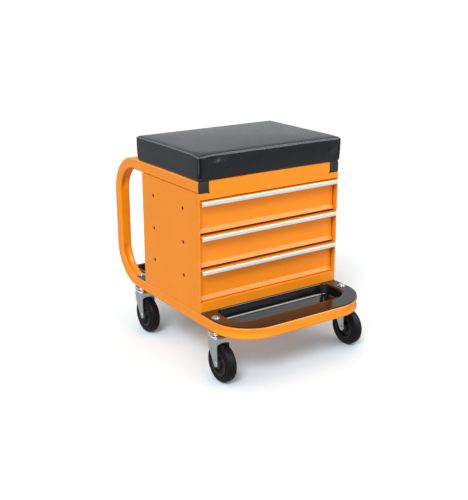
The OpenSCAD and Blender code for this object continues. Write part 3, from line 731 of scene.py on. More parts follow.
def frame_path():
    """Points along the frame's one tube, and how each leans into its bend."""
    points = []
    leans = []

    def straight(start, end, steps):
        for k in range(steps):
            points.append(Vector(start).lerp(Vector(end), k / steps))
            leans.append(Vector())

    def bend(centre, start, end, steps=26):
        """A quarter circle from one direction out of the centre to another."""
        for k in range(steps):
            t = k / steps
            a = t * math.pi / 2
            out = Vector(start) * math.cos(a) + Vector(end) * math.sin(a)
            points.append(Vector(centre) + out * BEND_R)
            leans.append(-out * smooth(min(1.0, t / 0.16, (1 - t) / 0.16)))

    x, r = -SIDE_X, BEND_R
    up, back, left, ahead = (0, 0, 1), (0, 1, 0), (-1, 0, 0), (0, -1, 0)
    straight((x, FRONT_Y + CAP_T, TOP_Z), (x, LOOP_Y - r, TOP_Z), 12)
    bend((x, LOOP_Y - r, TOP_Z - r), up, back)
    straight((x, LOOP_Y, TOP_Z - r), (x, LOOP_Y, BASE_Z + r), 6)
    bend((x, LOOP_Y - r, BASE_Z + r), back, (0, 0, -1))
    straight((x, LOOP_Y - r, BASE_Z), (x, -LOOP_Y + r, BASE_Z), 14)
    bend((x + r, -LOOP_Y + r, BASE_Z), left, ahead)
    straight((x + r, -LOOP_Y, BASE_Z), (0, -LOOP_Y, BASE_Z), 8)
    flip = Vector((-1, 1, 1))
    right = [p * flip for p in reversed(points)]
    right_leans = [v * flip for v in reversed(leans)]
    middle = [Vector((0, -LOOP_Y, BASE_Z))]
    return points + middle + right, leans + [Vector()] + right_leans


def build_frame():
    points, leans = frame_path()
    chain = [(i, i + 1) for i in range(len(points) - 1)]
    path = carrier("frame_path", points, chain, "inward", leans)
    mesh = grown("frame_tube_bent", tube_tree(), path, {
        "Width": TUBE, "Corner radius": TUBE_CORNER, "Outer dent": 0.0030, "Inner dent": 0.0034,
        "Finish": FRAME_PAINT.material,
    })
    put(sharpened(mesh, 60), "frame_tube_bent", FRAME_PAINT, "root", "frame_tube")
    for side, name in ((-1, "end_cap_left"), (1, "end_cap_right")):
        build_end_cap(side, name)


def build_end_cap(side, name):
    """Cap with a softly domed face, a small rim and the plug behind it."""
    half = TUBE / 2
    shape = Shape()
    corners = rectangle(-half, -half, half, half)

    def level(y, inset):
        ring = outline(corners, [TUBE_CORNER] * 4, inset)
        return [(side * SIDE_X + p.x, FRONT_Y + y, TOP_Z + p.y) for p in ring]

    shape.loft([level(CAP_PLUG, 0.0038), level(CAP_PLUG, 0.0024), level(CAP_T, 0.0023),
                level(CAP_T, 0.0002), level(0.0009, 0.0), level(0.0003, 0.0003),
                level(0.0, 0.0010), level(-0.0003, 0.0030), level(-0.0004, 0.0037)])
    put(shape.mesh(name + "_moulded"), name + "_moulded", CAP, "root", name)


def build_cabinet():
    """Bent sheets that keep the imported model's shape, with eased edges."""
    for node in ("side_panel_left", "side_panel_right", "back_panel", "base_panel"):
        eased(node, CABINET_PAINT, 0.0004)
    for node in ("top_rail", "kick_rail"):
        eased(node, CABINET_PAINT, 0.0005, 3)
    eased("seat_board", BOARD, 0.0005)


def drawer_foot(k):
    """How high a drawer stands."""
    return DRAWER_FOOT + (3 - k) * DRAWER_PITCH


def build_drawers():
    """Fronts folded from one sheet, each with its aluminium strip, box and slides."""
    foot_y = FACE_Y - 0.005
    lip_top = FRONT_H - 0.002
    lip_low = lip_top - 0.008
    inner_y = FACE_Y + SHEET
    knee = 0.0095
    front = [
        (LIP_Y, lip_low), (LIP_Y + SHEET, lip_low), (LIP_Y + SHEET, lip_top - SHEET),
        (FACE_Y, FRONT_H - 1.5 * SHEET), (FACE_Y, knee), (foot_y, SHEET), (foot_y, 0),
        (FACE_Y + 0.006, 0), (FACE_Y + 0.006, SHEET), (foot_y + SHEET, SHEET),
        (foot_y + SHEET, 2 * SHEET), (inner_y, knee), (inner_y, FRONT_H), (LIP_Y, lip_top),
    ]
    front_radii = [0.0003, 0.0003, 0.0004, 0.0004, 0.0020, 0.0005, 0.0005,
                   0.0003, 0.0003, 0.0001, 0.0001, 0.0005, 0.0005, 0.0014]
    strip_y = LIP_Y - STRIP_T
    hook_y = LIP_Y + STRIP_T
    hook_low = lip_low - STRIP_T
    strip = [(strip_y, hook_low), (hook_y, hook_low), (hook_y, lip_low), (LIP_Y, lip_low),
             (LIP_Y, lip_top), (strip_y, lip_top)]
    strip_radii = [0.0024, 0.0004, 0.0003, 0.0002, 0.0002, 0.0014]
    for k in (1, 2, 3):
        foot = drawer_foot(k)
        body = f"drawer_{k}"
        build_bar(f"drawer_front_{k}", "folded", front, front_radii, foot, FRONT_HALF,
                  DRAWER_PAINT, body)
        build_bar(f"handle_strip_{k}", "drawn", strip, strip_radii, foot, FRONT_HALF - 0.001,
                  STRIP, body)
        eased(f"drawer_box_{k}", DRAWER_PAINT, 0.0004)
        for member in ("outer", "mid", "inner"):
            eased(f"slide_{member}_{k}", SLIDE_ZINC, 0.0003)


def build_bar(node, word, section, radii, foot, half, finish, body):
    """A section of (y, z) points, raised to its foot and run across the width."""
    corners = [(y, foot + z) for y, z in section]
    shape = Shape()
    loops = []
    ease = 0.0003
    for x, inset in ((-half, ease), (-half + ease, 0), (half - ease, 0), (half, ease)):
        loops.append([(x, p.x, p.y) for p in outline(corners, radii, inset, 5)])
    shape.loft(loops)
    put(shape.mesh(f"{node}_{word}"), f"{node}_{word}", finish, body, node)


def pocket_levels(rim):
    """Inset and drop of a pocket's wall, from the flange round the rim to the coved floor."""
    lean, depth, cove = POCKET_LEAN, POCKET_DEPTH, POCKET_COVE
    slope = math.atan2(lean, depth)
    turn = math.pi / 2 - slope
    reach = math.tan(turn / 2)
    over = [polar(rim, turn * k / 8) for k in range(9)]
    under = [polar(cove, slope + turn * k / 8) for k in range(9)]
    return [(-rim * reach - 0.0006, 0.0), *[(p.y - rim * reach, rim - p.x) for p in over],
            *[(lean + cove * reach - p.x, depth - cove + p.y) for p in under],
            (lean + cove * reach + 0.002, depth)]


def build_tray(node, plan, plan_radii, pocket, pocket_radii, far_rim):
    """Plastic sheet drawn down into a pocket; its rim is rounder on the side away from the cabinet."""
    shape = Shape()
    edges = [shape.ring([(p.x, p.y, TRAY_TOP) for p in outline(plan, plan_radii, inset, 20)])
             for inset in (0.0, 0.0012)]
    shape.skin(edges)
    near_y, far_y = pocket[0][1], pocket[2][1]
    if abs(near_y) > abs(far_y):
        near_y, far_y = far_y, near_y
    rings = []
    for near, far in zip(pocket_levels(NEAR_RIM), pocket_levels(far_rim)):
        ring = []
        for a, b in zip(outline(pocket, pocket_radii, near[0], 14),
                        outline(pocket, pocket_radii, far[0], 14)):
            t = smooth(clamped((a.y - near_y) / (far_y - near_y)))
            p = a.lerp(b, t)
            ring.append((p.x, p.y, TRAY_TOP - near[1] - (far[1] - near[1]) * t))
        rings.append(shape.ring(ring))
    shape.skin(rings)
    shape.bm.faces.new(rings[-1])
    border = []
    for ring in (edges[1], rings[0]):
        border += [shape.bm.edges.get(pair) for pair in zip(ring, ring[1:] + ring[:1])]
    bmesh.ops.triangle_fill(shape.bm, use_beauty=True, edges=border, normal=(0, 0, 1))
    bmesh.ops.recalc_face_normals(shape.bm, faces=shape.bm.faces)
    if sum(face.normal.z * face.calc_area() for face in shape.bm.faces) < 0:
        bmesh.ops.reverse_faces(shape.bm, faces=shape.bm.faces)
    mesh = to_mesh(shape.bm, node + "_drawn", 60)
    mesh = settled(mesh, node + "_drawn", [thickened(TRAY_T), bevel(0.0007, 3, 60)], 50)
    put(mesh, node + "_drawn", TRAY, "root", node)


def build_trays():
    """The front tray fills the frame's front loop, and the rear one lies round the two uprights."""
    half = CABINET_W / 2 - TRAY_EDGE
    far = -BACK_Y - REACH + TRAY_EDGE
    bend = BEND_R + TUBE / 2 - TRAY_EDGE
    side = SIDE_X - TUBE / 2 - POCKET_IN
    front, rear = FRONT_POCKET, REAR_POCKET
    build_tray("front_tray", rectangle(-half, far, half, FRONT_Y), [bend, bend, 0.0005, 0.0005],
               rectangle(-side, front[0], side, front[1]), [0.040, 0.040, POCKET_CORNER, POCKET_CORNER],
               FRONT_FAR_RIM)
    narrow = SIDE_X - TUBE / 2 - 0.001
    step, back = LOOP_Y - BEND_R, REAR_TRAY_END
    plan = [(-half, BACK_Y), (half, BACK_Y), (half, step), (narrow, step), (narrow, back),
            (-narrow, back), (-narrow, step), (-half, step)]
    build_tray("rear_tray", plan, [0.0005, 0.0005, 0.002, 0.0013, 0.003, 0.003, 0.0013, 0.002],
               rectangle(-side, rear[0], side, rear[1]), [POCKET_CORNER] * 4, REAR_FAR_RIM)


def spaced(half, step):
    """Coordinates from -half to half, close together near both ends for the folds there."""
    close = [0, 0.0012, 0.0024, 0.0034, 0.0044, 0.0056, 0.0072, 0.0095, 0.0130]
    count = round(2 * (half - close[-1]) / step)
    inner = half - close[-1]
    middle = [-inner + 2 * inner * k / count for k in range(1, count)]
    return [-half + c for c in close] + middle + [half - c for c in reversed(close)]


def box_surface(xs, ys, zs):
    """Points and faces of a box's surface, gridded at the coordinates given."""
    index = {}
    points = []

    def corner(i, j, k):
        if (i, j, k) not in index:
            index[i, j, k] = len(points)
            points.append((xs[i], ys[j], zs[k]))
        return index[i, j, k]

    faces = []
    last = (len(xs) - 1, len(ys) - 1, len(zs) - 1)
    for a, b, c, ways in ((0, 1, 2, (-1, 1)), (0, 2, 1, (1, -1)), (1, 2, 0, (-1, 1))):
        for i, j in itertools.product(range(last[a]), range(last[b])):
            for k, way in zip((0, last[c]), ways):
                loop = []
                for di, dj in ((0, 0), (1, 0), (1, 1), (0, 1)):
                    spot = {a: i + di, b: j + dj, c: k}
                    loop.append(corner(spot[0], spot[1], spot[2]))
                faces.append(loop[::way])
    return np.array(points), faces


def cushion_block():
    """Foam block under its cover, before the filling presses: points, faces and its stiff edges."""
    half = np.array([SEAT_W / 2, SEAT_D / 2])
    zs = [0, 0.0015, 0.004, *[0.008 + 0.005 * k for k in range(7)], 0.0425, 0.046, 0.049,
          0.0505, 0.052, 0.0535, SEAT_H]
    p, faces = box_surface(spaced(half[0], SEAT_GRID), spaced(half[1], SEAT_GRID), zs)
    low = np.abs(p[:, :2])
    excess = np.zeros_like(p)
    excess[:, :2] = np.maximum(low - (half - SEAT_EDGE), 0)
    excess[:, 2] = np.maximum(p[:, 2] - (SEAT_H - SEAT_EDGE), 0)
    edges = (excess > 1e-6).sum(axis=1) >= 2
    length = np.linalg.norm(excess, axis=1)
    shrink = excess.max(axis=1) / np.maximum(length, 1e-9)
    sign = np.sign(p)
    sign[:, 2] = 1
    p = p - sign * excess * (1 - shrink[:, None])
    share = p[:, :2] / half
    height = p[:, 2] / SEAT_H
    draw = SEAT_DRAW * np.maximum(1 - height / 0.7, 0) ** 2
    draw = draw + SEAT_TUCK * np.maximum(1 - height / 0.08, 0) ** 2
    pull = SEAT_PULL * np.cos(share[:, ::-1] * math.pi / 2) ** 2 * (1 - 0.6 * height[:, None] ** 3)
    far = np.abs(share).max(axis=1)
    rise = SEAT_RISE * (1 - far ** 2.4) * np.maximum(height * 4 - 3, 0)
    p[:, :2] -= share * (draw[:, None] + pull)
    p[:, 1] += SEAT_Y
    p[:, 2] += SEAT_Z + SEAT_CLEAR + rise
    held = edges | (height < 0.1)
    return p, faces, held


def pressed(mesh, held):
    """Where the cover goes when the filling presses on it. Its edges and its foot stay."""
    bench = in_scene("cushion_bench", mesh)
    group = bench.vertex_groups.new(name="held")
    group.add([int(i) for i in np.nonzero(held)[0]], 1.0, "REPLACE")
    cloth = bench.modifiers.new("cloth", "CLOTH")
    for key, value in COVER.items():
        setattr(cloth.settings, key, value)
    cloth.settings.vertex_group_mass = "held"
    cloth.settings.effector_weights.gravity = 0
    cloth.collision_settings.use_collision = False
    for step in range(1, 21):
        bpy.context.scene.frame_set(step)
    result = taken(bench, "cushion_cloth")
    bpy.context.scene.frame_set(1)
    place = np.empty(len(result.vertices) * 3)
    result.vertices.foreach_get("co", place)
    return place.reshape(-1, 3)


def bell(value, width):
    """1 at 0, falling away on both sides."""
    return np.exp(-(value / width) ** 2)


def pleated(rise, along):
    """The pleat beside a corner: how deep a point lies in its slit, and how far out on its flap."""
    off = along - PLEAT_IN - PLEAT_BOW * np.sin(rise * math.pi)
    flap = np.clip(off / 0.0036, 0, 1) * bell(off, 0.012) * (0.5 + 0.8 * rise ** 3)
    return bell(off, 0.0027), flap


def ridged(place):
    """How far the ridges lift the cover's front."""
    lifted = 0
    for x, level, slant, length, width, lift in RIDGES:
        turn = math.radians(slant)
        away, up = place[:, 0] - x, place[:, 2] - SEAT_Z - SEAT_H * level
        run = away * math.cos(turn) + up * math.sin(turn)
        off = up * math.cos(turn) - away * math.sin(turn)
        lifted = lifted + lift * bell(run, length) * bell(off, width)
    return lifted


def creased(place):
    """Small creases, longer along the height than across, over slower ones."""
    return np.array([
        noise.noise(Vector((p[0] * 60, p[1] * 60, p[2] * 22))) * 0.6
        + noise.noise(Vector((p[0] * 25 + 5, p[1] * 25, p[2] * 45))) for p in place
    ])


def crumpled(place, normal, half):
    """Adds what the cover does: pleats by the front corners, creases and a rolled edge.

    Returns the places, how deep each point lies in a fold, which the vinyl paints as shade, and how
    strong a painted highlight each point gets along the rolled edges.
    """
    height = (place[:, 2] - SEAT_Z) / SEAT_H
    rise = np.clip(height, 0, 1)
    level = np.abs(normal[:, 2])
    upright = np.clip(1.15 - level * 2.2, 0, 1)
    across = np.clip((np.abs(normal[:, 1]) - 0.5) * 3, 0, 1) * upright
    front = across * (normal[:, 1] < 0)
    along = half[0] - np.abs(place[:, 0])
    inside = np.minimum(along, half[1] - np.abs(place[:, 1] - SEAT_Y))
    reach = np.clip(height / 0.12, 0, 1) * np.clip((0.99 - height) / 0.06, 0, 1)
    slit, flap = pleated(rise, along)
    slit = slit * across * reach
    belly = SEAT_BELLY * np.sin(rise * math.pi) * (1 - bell(along, 0.03))
    near = (bell(along, 0.06) + 0.35) * across + 0.2
    depth = PLEAT_OUT * flap * across * reach - PLEAT_DEEP * slit + (ridged(place) + belly) * front
    depth += CREASE * creased(place) * upright * near * reach
    place = place + normal * depth[:, None]
    slope = np.clip(1 - inside / 0.016, 0, 1) ** 2 * np.clip(normal[:, 2] * 2 - 0.6, 0, 1)
    corner = np.hypot(along, np.clip(place[:, 1] - SEAT_Y + half[1], 0, None))
    droop = np.where(place[:, 0] < 0, SEAT_DROOP, SEAT_DROOP * 0.35)
    place[:, 2] -= SEAT_SLOPE * slope + droop * bell(corner, 0.022) * rise
    # Painted highlight's strength: on the cover's rounded edges above its foot, strongest where they
    # face up, none in the slits.
    parts = np.sort(np.abs(normal), axis=1)
    bend = np.clip((parts[:, 1] / parts[:, 2] - 0.45) / 0.35, 0, 1)
    top = 0.35 + 0.65 * np.clip(level * 4 - 0.6, 0, 1)
    painted_edge_highlight = bend * np.clip(height * 8 - 1.5, 0, 1) * (1 - slit) * top
    return place, slit, painted_edge_highlight


def build_cushion():
    """Block, blown up by its filling, then smoothed and crumpled."""
    start, faces, held = cushion_block()
    mesh = bpy.data.meshes.new("cushion_block")
    mesh.from_pydata(start.tolist(), [], faces)
    place = start
    place = pressed(mesh, held)
    move = place - start
    length = np.linalg.norm(move, axis=1, keepdims=True)
    place = start + move * SEAT_SWELL * np.tanh(length / SEAT_SWELL) / np.maximum(length, 1e-9)
    place[:, 2] = np.maximum(place[:, 2], SEAT_Z + SEAT_CLEAR)
    mesh = bpy.data.meshes.new("cushion_pressed")
    mesh.from_pydata(place.tolist(), [], faces)
    mesh = settled(mesh, "cushion_covered", [("SUBSURF", {"levels": 1, "render_levels": 1})], 180)
    place = np.array([v.co for v in mesh.vertices])
    normal = np.array([v.normal for v in mesh.vertices])
    half = np.abs(place[:, :2] - (0, SEAT_Y)).max(axis=0)
    place, fold, painted_edge_highlight = crumpled(place, normal, half)
    mesh.vertices.foreach_set("co", place.ravel())
    mesh.update()
    # The vinyl paints the first share as shade in the slits and the second as a highlight along the
    # rounded edges.
    for word, share in (("fold", fold), ("painted_edge_highlight", painted_edge_highlight)):
        mesh.attributes.new(word, "FLOAT", "POINT").data.foreach_set("value", share)
    cushion = put(mesh, "cushion_covered", VINYL, "root", "seat_cushion")


def tangent_turn(corner, tip, radius, way):
    """Angle, seen from the tip's centre, at which the line from a corner touches its circle."""
    reach = Vector(corner) - Vector(tip)
    return math.atan2(reach.y, reach.x) + way * math.acos(radius / reach.length)


def leg_rows():
    """Front and rear edge points (y, z) of a fork's leg, from its round tip up to the fold."""
    tip = Vector((-TRAIL, AXLE_Z))
    top = CROWN_Z - FOLD_R
    ahead, knee = Vector((-FORK_FRONT, top)), Vector((FORK_BACK, CROWN_Z - FORK_KNEE))
    first = tangent_turn(ahead, tip, TIP_R, 1) - math.tau
    last = tangent_turn(knee, tip, TIP_R, -1)
    rows = []
    for k in range(1, 9):
        ends = [k / 8 * end - (1 - k / 8) * math.pi / 2 for end in (first, last)]
        rows.append([tip + polar(TIP_R, a) for a in ends])
    front, back = rows[-1]
    blend = 0.15
    for k in range(1, 19):
        height = back.y + (top - back.y) * k / 18
        share = (height - back.y) / (knee.y - back.y)
        if abs(share - 1) < blend:
            share -= (share - (1 - blend)) ** 2 / (4 * blend)
        share = min(share, 1)
        rows.append([front.lerp(ahead, k / 18), Vector((back.x + (knee.x - back.x) * share, height))])
    return rows


def fork_mesh(name):
    """One strip folded over the wheel: a leg, the crown and the other leg."""
    shape = Shape()
    rows = leg_rows()

    def row(ends, place):
        return shape.ring([place(ends[0].lerp(ends[1], k / 14)) for k in range(15)])

    def ribbed(p):
        """How far the leg's pressed rib stands out at a point."""
        up = (p.y - AXLE_Z) / (CROWN_Z - AXLE_Z)
        middle = -TRAIL + 0.011 * up
        across = max(0, 1 - abs(p.x - middle) / 0.0042)
        along = clamped((up - 0.28) / 0.1) * clamped((0.86 - up) / 0.1)
        return RIB * min(1, across * 2) * along

    rings = [row(ends, lambda p: (-FORK_HALF - ribbed(p), p.x, p.y)) for ends in rows]
    crown = [Vector((-FORK_FRONT, 0)), Vector((FORK_BACK, 0))]
    fold = [polar(FOLD_R, math.pi / 2 * k / 6) for k in range(1, 7)]
    fold = [(FORK_HALF - FOLD_R + p.x, CROWN_Z - FOLD_R + p.y) for p in fold]
    for x, z in fold:
        rings.append(row(crown, lambda p, x=x, z=z: (-x, p.x, z)))
    short = [Vector((-FORK_FRONT + 0.0034, 0)), crown[1]]
    for x in (FOLD_R + 0.0004 - FORK_HALF, FORK_HALF - FOLD_R - 0.0004):
        rings.append(row(short, lambda p, x=x: (x, p.x, CROWN_Z)))
    for x, z in reversed(fold):
        rings.append(row(crown, lambda p, x=x, z=z: (x, p.x, z)))
    for ends in reversed(rows):
        rings.append(row(ends, lambda p: (FORK_HALF + ribbed(p), p.x, p.y)))
    shape.skin(rings, closed=False)
    strip = shape.mesh(name + "_strip", 40)
    cutter = leg_hole_cutter()
    drill = ("BOOLEAN", {"operation": "DIFFERENCE", "object": cutter, "solver": "EXACT"})
    mesh = settled(strip, name, [thickened(FORK_T), drill, bevel(0.0005, 2, 50)], 40)
    bpy.data.objects.remove(cutter)
    return mesh


def leg_hole_cutter():
    """A pin through both legs, where each has its small hole above the axle."""
    shape = Shape()
    shape.revolve([(0, -0.025), (LEG_HOLE_R, -0.025), (LEG_HOLE_R, 0.025), (0, 0.025)],
                  (0, -TRAIL, AXLE_Z + LEG_HOLE_UP), "X", 20, False)
    return in_scene("hole_cutter", shape.mesh("hole_cutter"))


def crown_disc():
    """Round plate under the race, a hair above the strip that it is pressed from."""
    top, low = CROWN_Z + 0.00005, CROWN_Z - FORK_T
    edge = RACE_R - 0.001
    return turned("crown_disc", [(KING_R, top), (edge - 0.0008, top), (edge, top - 0.0008), (edge, low),
                                 (KING_R, low)], steps=72)


def crown_apron():
    """The crown's front edge, turned down between the legs and arched over the tyre."""
    shape = Shape()
    half = FORK_HALF - FORK_T + 0.0004
    front, back = -FORK_FRONT, FORK_T - FORK_FRONT
    under, top = CROWN_Z - FORK_T, CROWN_Z - 0.0001
    loops = []
    for k in range(-12, 13):
        a = math.pi / 2 * k / 12
        low = 2 * WHEEL_R + APRON_GAP - APRON_ARCH * (1 - math.cos(a))
        section = [(front - 0.0006, low), (back, low), (back, under), (back + 0.002, under),
                   (back + 0.002, top), (front, top), (front, low + 0.0022)]
        rounded = outline(section, [0.0005, 0.0008, 0.0003, 0.0001, 0.0001, 0.0032, 0.0015], 0.0, 5)
        loops.append([(half * math.sin(a), p.x, p.y) for p in rounded])
    shape.loft(loops)
    return shape.mesh("crown_apron", 40)


def at_corners(x, y):
    """The four places that lie so far from the middle."""
    return [(sx * x, sy * y) for sx, sy in CORNERS.values()]


def moved(mesh, name, x, y):
    """A copy of a castor mesh at one corner."""
    copy = mesh.copy()
    copy.name = name
    copy.transform(Matrix.Translation((x, y, 0)))
    return copy


def turned(name, profile, axis="Z", steps=64, closed=True, angle=40):
    """A profile turned about the Z axis or a wheel's axle."""
    shape = Shape()
    centre = (0, 0, 0) if axis == "Z" else (0, -TRAIL, AXLE_Z)
    shape.revolve(profile, centre, axis, steps, closed)
    return shape.mesh(name, angle)


def mirrored(half):
    """A profile of (radius, x) points completed by its mirror image."""
    return half + [(r, -x) for r, x in reversed(half)]


def rounded_profile(points, radii, steps=4):
    """A closed profile with each of its corners rounded."""
    return [tuple(p) for p in outline(points, radii, 0.0, steps)]


def head_profile():
    """Castor's top race: a flanged cup round the king pin, hanging from the frame tube."""
    drops = [(0.0043, 0.0116), (0.011, 0.0116), (0.011, 0.0091), (KING_R, 0.0091), (KING_R, 0.0025),
             (RACE_R - 0.002, 0.0025), (RACE_R - 0.002, 0.0051), (RACE_R, 0.0051), (RACE_R, 0),
             (0.0043, 0)]
    radii = [0.0003, 0.0008, 0.0003, 0.0003, 0.0003, 0.0015, 0.0004, 0.0006, 0.0016, 0.0002]
    return rounded_profile([(r, CASTOR_TOP - drop) for r, drop in drops], radii)


def hub_profile():
    """Half web, boss and rim, with two fine ridges round the web."""
    half, web, rim = 0.0141, 0.0035, 0.011
    side = [(0.00605, -half), (0.0104, -half), (0.011, -half + 0.0006), (0.0113, -web - 0.002),
            (0.0133, -web), (0.0140, -web), (0.0143, -web - 0.0007), (0.0147, -web - 0.0007),
            (0.0150, -web), (0.0196, -web), (0.0199, -web - 0.0007), (0.0203, -web - 0.0007),
            (0.0206, -web), (0.0215, -web), (0.0226, -web - 0.0014), (0.0232, -rim + 0.0008),
            (0.0240, -rim), (0.0266, -rim), (0.0270, -rim + 0.0004)]
    return mirrored(side)


def tyre_profile():
    """Outer half of the tyre, with the raised bead that catches the light round the hub."""
    side = [(0.0270, -0.0112), (0.0273, -0.0119), (0.0280, -0.0124), (0.0289, -0.0125),
            (0.0297, -0.0122), (0.0302, -0.0116), (0.0309, -0.0113), (0.0320, -0.0113)]
    shoulder = 0.0070
    for k in range(9):
        p = polar(shoulder, math.pi / 2 * k / 8)
        side.append((WHEEL_R - shoulder + p.y, -0.0043 - p.x))
    side.append((WHEEL_R, -0.0020))
    return mirrored(side)


def axle_profile():
    """Rivet with a domed head outside each leg, and the bush between the legs."""
    half = FORK_HALF
    side = [(0, -half - 0.002), (0.0022, -half - 0.0019), (0.0040, -half - 0.0014),
            (0.0051, -half - 0.0006), (0.0055, -half), (0.0040, -half), (0.0040, -FORK_GAP),
            (0.0060, -FORK_GAP)]
    return mirrored(side)


def hub_mesh():
    """The hub, with five small round pads on each face of its web."""
    shape = Shape()
    shape.revolve(hub_profile(), (0, -TRAIL, AXLE_Z), "X", 96)
    pad = [(0, 0.0033), (0.0016, 0.0033), (0.0016, 0.0045), (0.0012, 0.0049), (0, 0.0049)]
    for way in (-1, 1):
        for k in range(5):
            p = polar(0.0175, math.radians(-90 + 72 * k))
            shape.revolve([(r, way * x) for r, x in pad], (0, p.x - TRAIL, p.y + AXLE_Z), "X", 16, False)
    return shape.mesh("hub_moulded", 30)


def build_castors():
    """Each part of a castor is shaped once and set down at the four corners."""
    fork = joined([fork_mesh("fork_pressed"), crown_disc(), crown_apron()], "fork_pressed")
    head = turned("race_pressed", head_profile())
    axle = turned("axle_riveted", axle_profile(), "X", steps=40, closed=False)
    hub = hub_mesh()
    tyre = turned("tyre_moulded", tyre_profile(), "X", steps=120, angle=60)
    for tag, (x, y) in zip(CORNERS, at_corners(SIDE_X, CASTOR_Y)):
        for mesh, word, finish, body in (
            (head, "castor_head", CASTOR_ZINC, "root"), (fork, "fork", CASTOR_ZINC, f"castor_{tag}"),
            (axle, "axle", CASTOR_ZINC, f"castor_{tag}"), (hub, "hub", HUB, f"wheel_{tag}"),
            (tyre, "tyre", RUBBER, f"wheel_{tag}"),
        ):
            node = f"{word}_{tag}"
            name = f"{node}_finished"
            put(moved(mesh, name, x, y), name, finish, body, node)


def joined(meshes, name):
    """One mesh from several shells."""
    bm = bmesh.new()
    for mesh in meshes:
        bm.from_mesh(mesh)
    return to_mesh(bm, name, 40)


def fastener_tree():
    """Puts one shape at every point, aligned to its facing and turned by chance."""
    web = Web(bpy.data.node_groups.new("set_fasteners", "GeometryNodeTree"))
    names = [("Shape", "Object"), ("Spin", "Float"), ("Seed", "Int"), ("Finish", "Material")]
    given = tree_inputs(web, names)
    points = web.node("GeometryNodeMeshToPoints", {"Mesh": given["Geometry"]})
    upright = web.node("FunctionNodeAlignRotationToVector", {"Vector": web.attribute("facing")},
                       axis="Z")
    spin = web.node("FunctionNodeRandomValue", {2: 0.0, 3: given["Spin"], "Seed": given["Seed"]}, 1,
                    data_type="FLOAT")
    axis = web.node("ShaderNodeCombineXYZ", {"Z": spin})
    turn = web.node("FunctionNodeEulerToRotation", [axis])
    turn = web.node("FunctionNodeRotateRotation", [upright, turn], rotation_space="LOCAL")
    shape = web.node("GeometryNodeObjectInfo", {"Object": given["Shape"]}, "Geometry")
    placed = web.node("GeometryNodeInstanceOnPoints",
                      {"Points": points, "Instance": shape, "Rotation": turn})
    web.end(placed, given["Finish"])
    return web.tree


def hexagon(across, count):
    """Radii of a hexagon's outline, as wide across its flats as given."""
    return [across / 2 / math.cos(math.radians((360 * k / count + 30) % 60 - 30)) for k in range(count)]


def ring_of(shape, radii, z):
    """A ring about Z, with a radius for each of its points."""
    step = math.tau / len(radii)
    return shape.ring([(*polar(r, step * k), z) for k, r in enumerate(radii)])


def socket_head(name, radius, height, across, depth, shank):
    """Button head with a hexagon socket, and under it a shank, given as its radius and length."""
    shape = Shape()
    count = 48
    socket = hexagon(across, count)
    edge = 0.0004
    levels = [([shank[0]] * count, -shank[1]), ([shank[0]] * count, 0.0), ([radius] * count, 0.0),
              ([radius] * count, height * 0.34)]
    for k in range(1, 7):
        a = math.pi / 2 * k / 7
        levels.append(([radius * (0.62 + 0.38 * math.cos(a))] * count,
                       height * (0.34 + 0.66 * math.sin(a))))
    levels += [([radius * 0.60] * count, height), ([r + edge for r in socket], height),
               (socket, height - edge), (socket, height - depth)]
    rings = [ring_of(shape, radii, z) for radii, z in levels]
    shape.skin(rings)
    shape.fill(rings)
    return shape.mesh(name)


def hexagon_nut(name, across, height, bore):
    """A nut with eased flats and an open bore."""
    shape = Shape()
    count = 36
    edge = 0.0008
    flats = hexagon(across, count)
    round_edge = [across / 2 * 1.01] * count
    hole = [bore] * count
    levels = [(hole, 0.0), (round_edge, 0.0), (flats, edge), (flats, height - edge),
              (round_edge, height), (hole, height)]
    rings = [ring_of(shape, radii, z) for radii, z in levels]
    shape.skin(rings + rings[:1])
    return shape.mesh(name, 30)


def ball(name, radius):
    """Few faces, because it is repeated a hundred times and more."""
    angles = [math.pi * k / 8 for k in range(9)]
    profile = [(radius * math.sin(a), -radius * math.cos(a)) for a in angles]
    return turned(name, profile, steps=14, closed=False, angle=180)


def set_down(node, word, shape_mesh, rows, finish, body, spin=0.0, seed=1):
    """Fasteners that stand for one CAD node."""
    master = in_scene(node + "_shape", shape_mesh)
    name = f"{node}_{word}"
    places, facings = zip(*rows)
    points = carrier(name + "_points", places, [], "facing", facings)
    mesh = grown(name, FASTENERS, points,
                 {"Shape": master, "Spin": spin, "Seed": seed, "Finish": finish.material})
    bpy.data.objects.remove(master)
    put(mesh, name, finish, body, node)


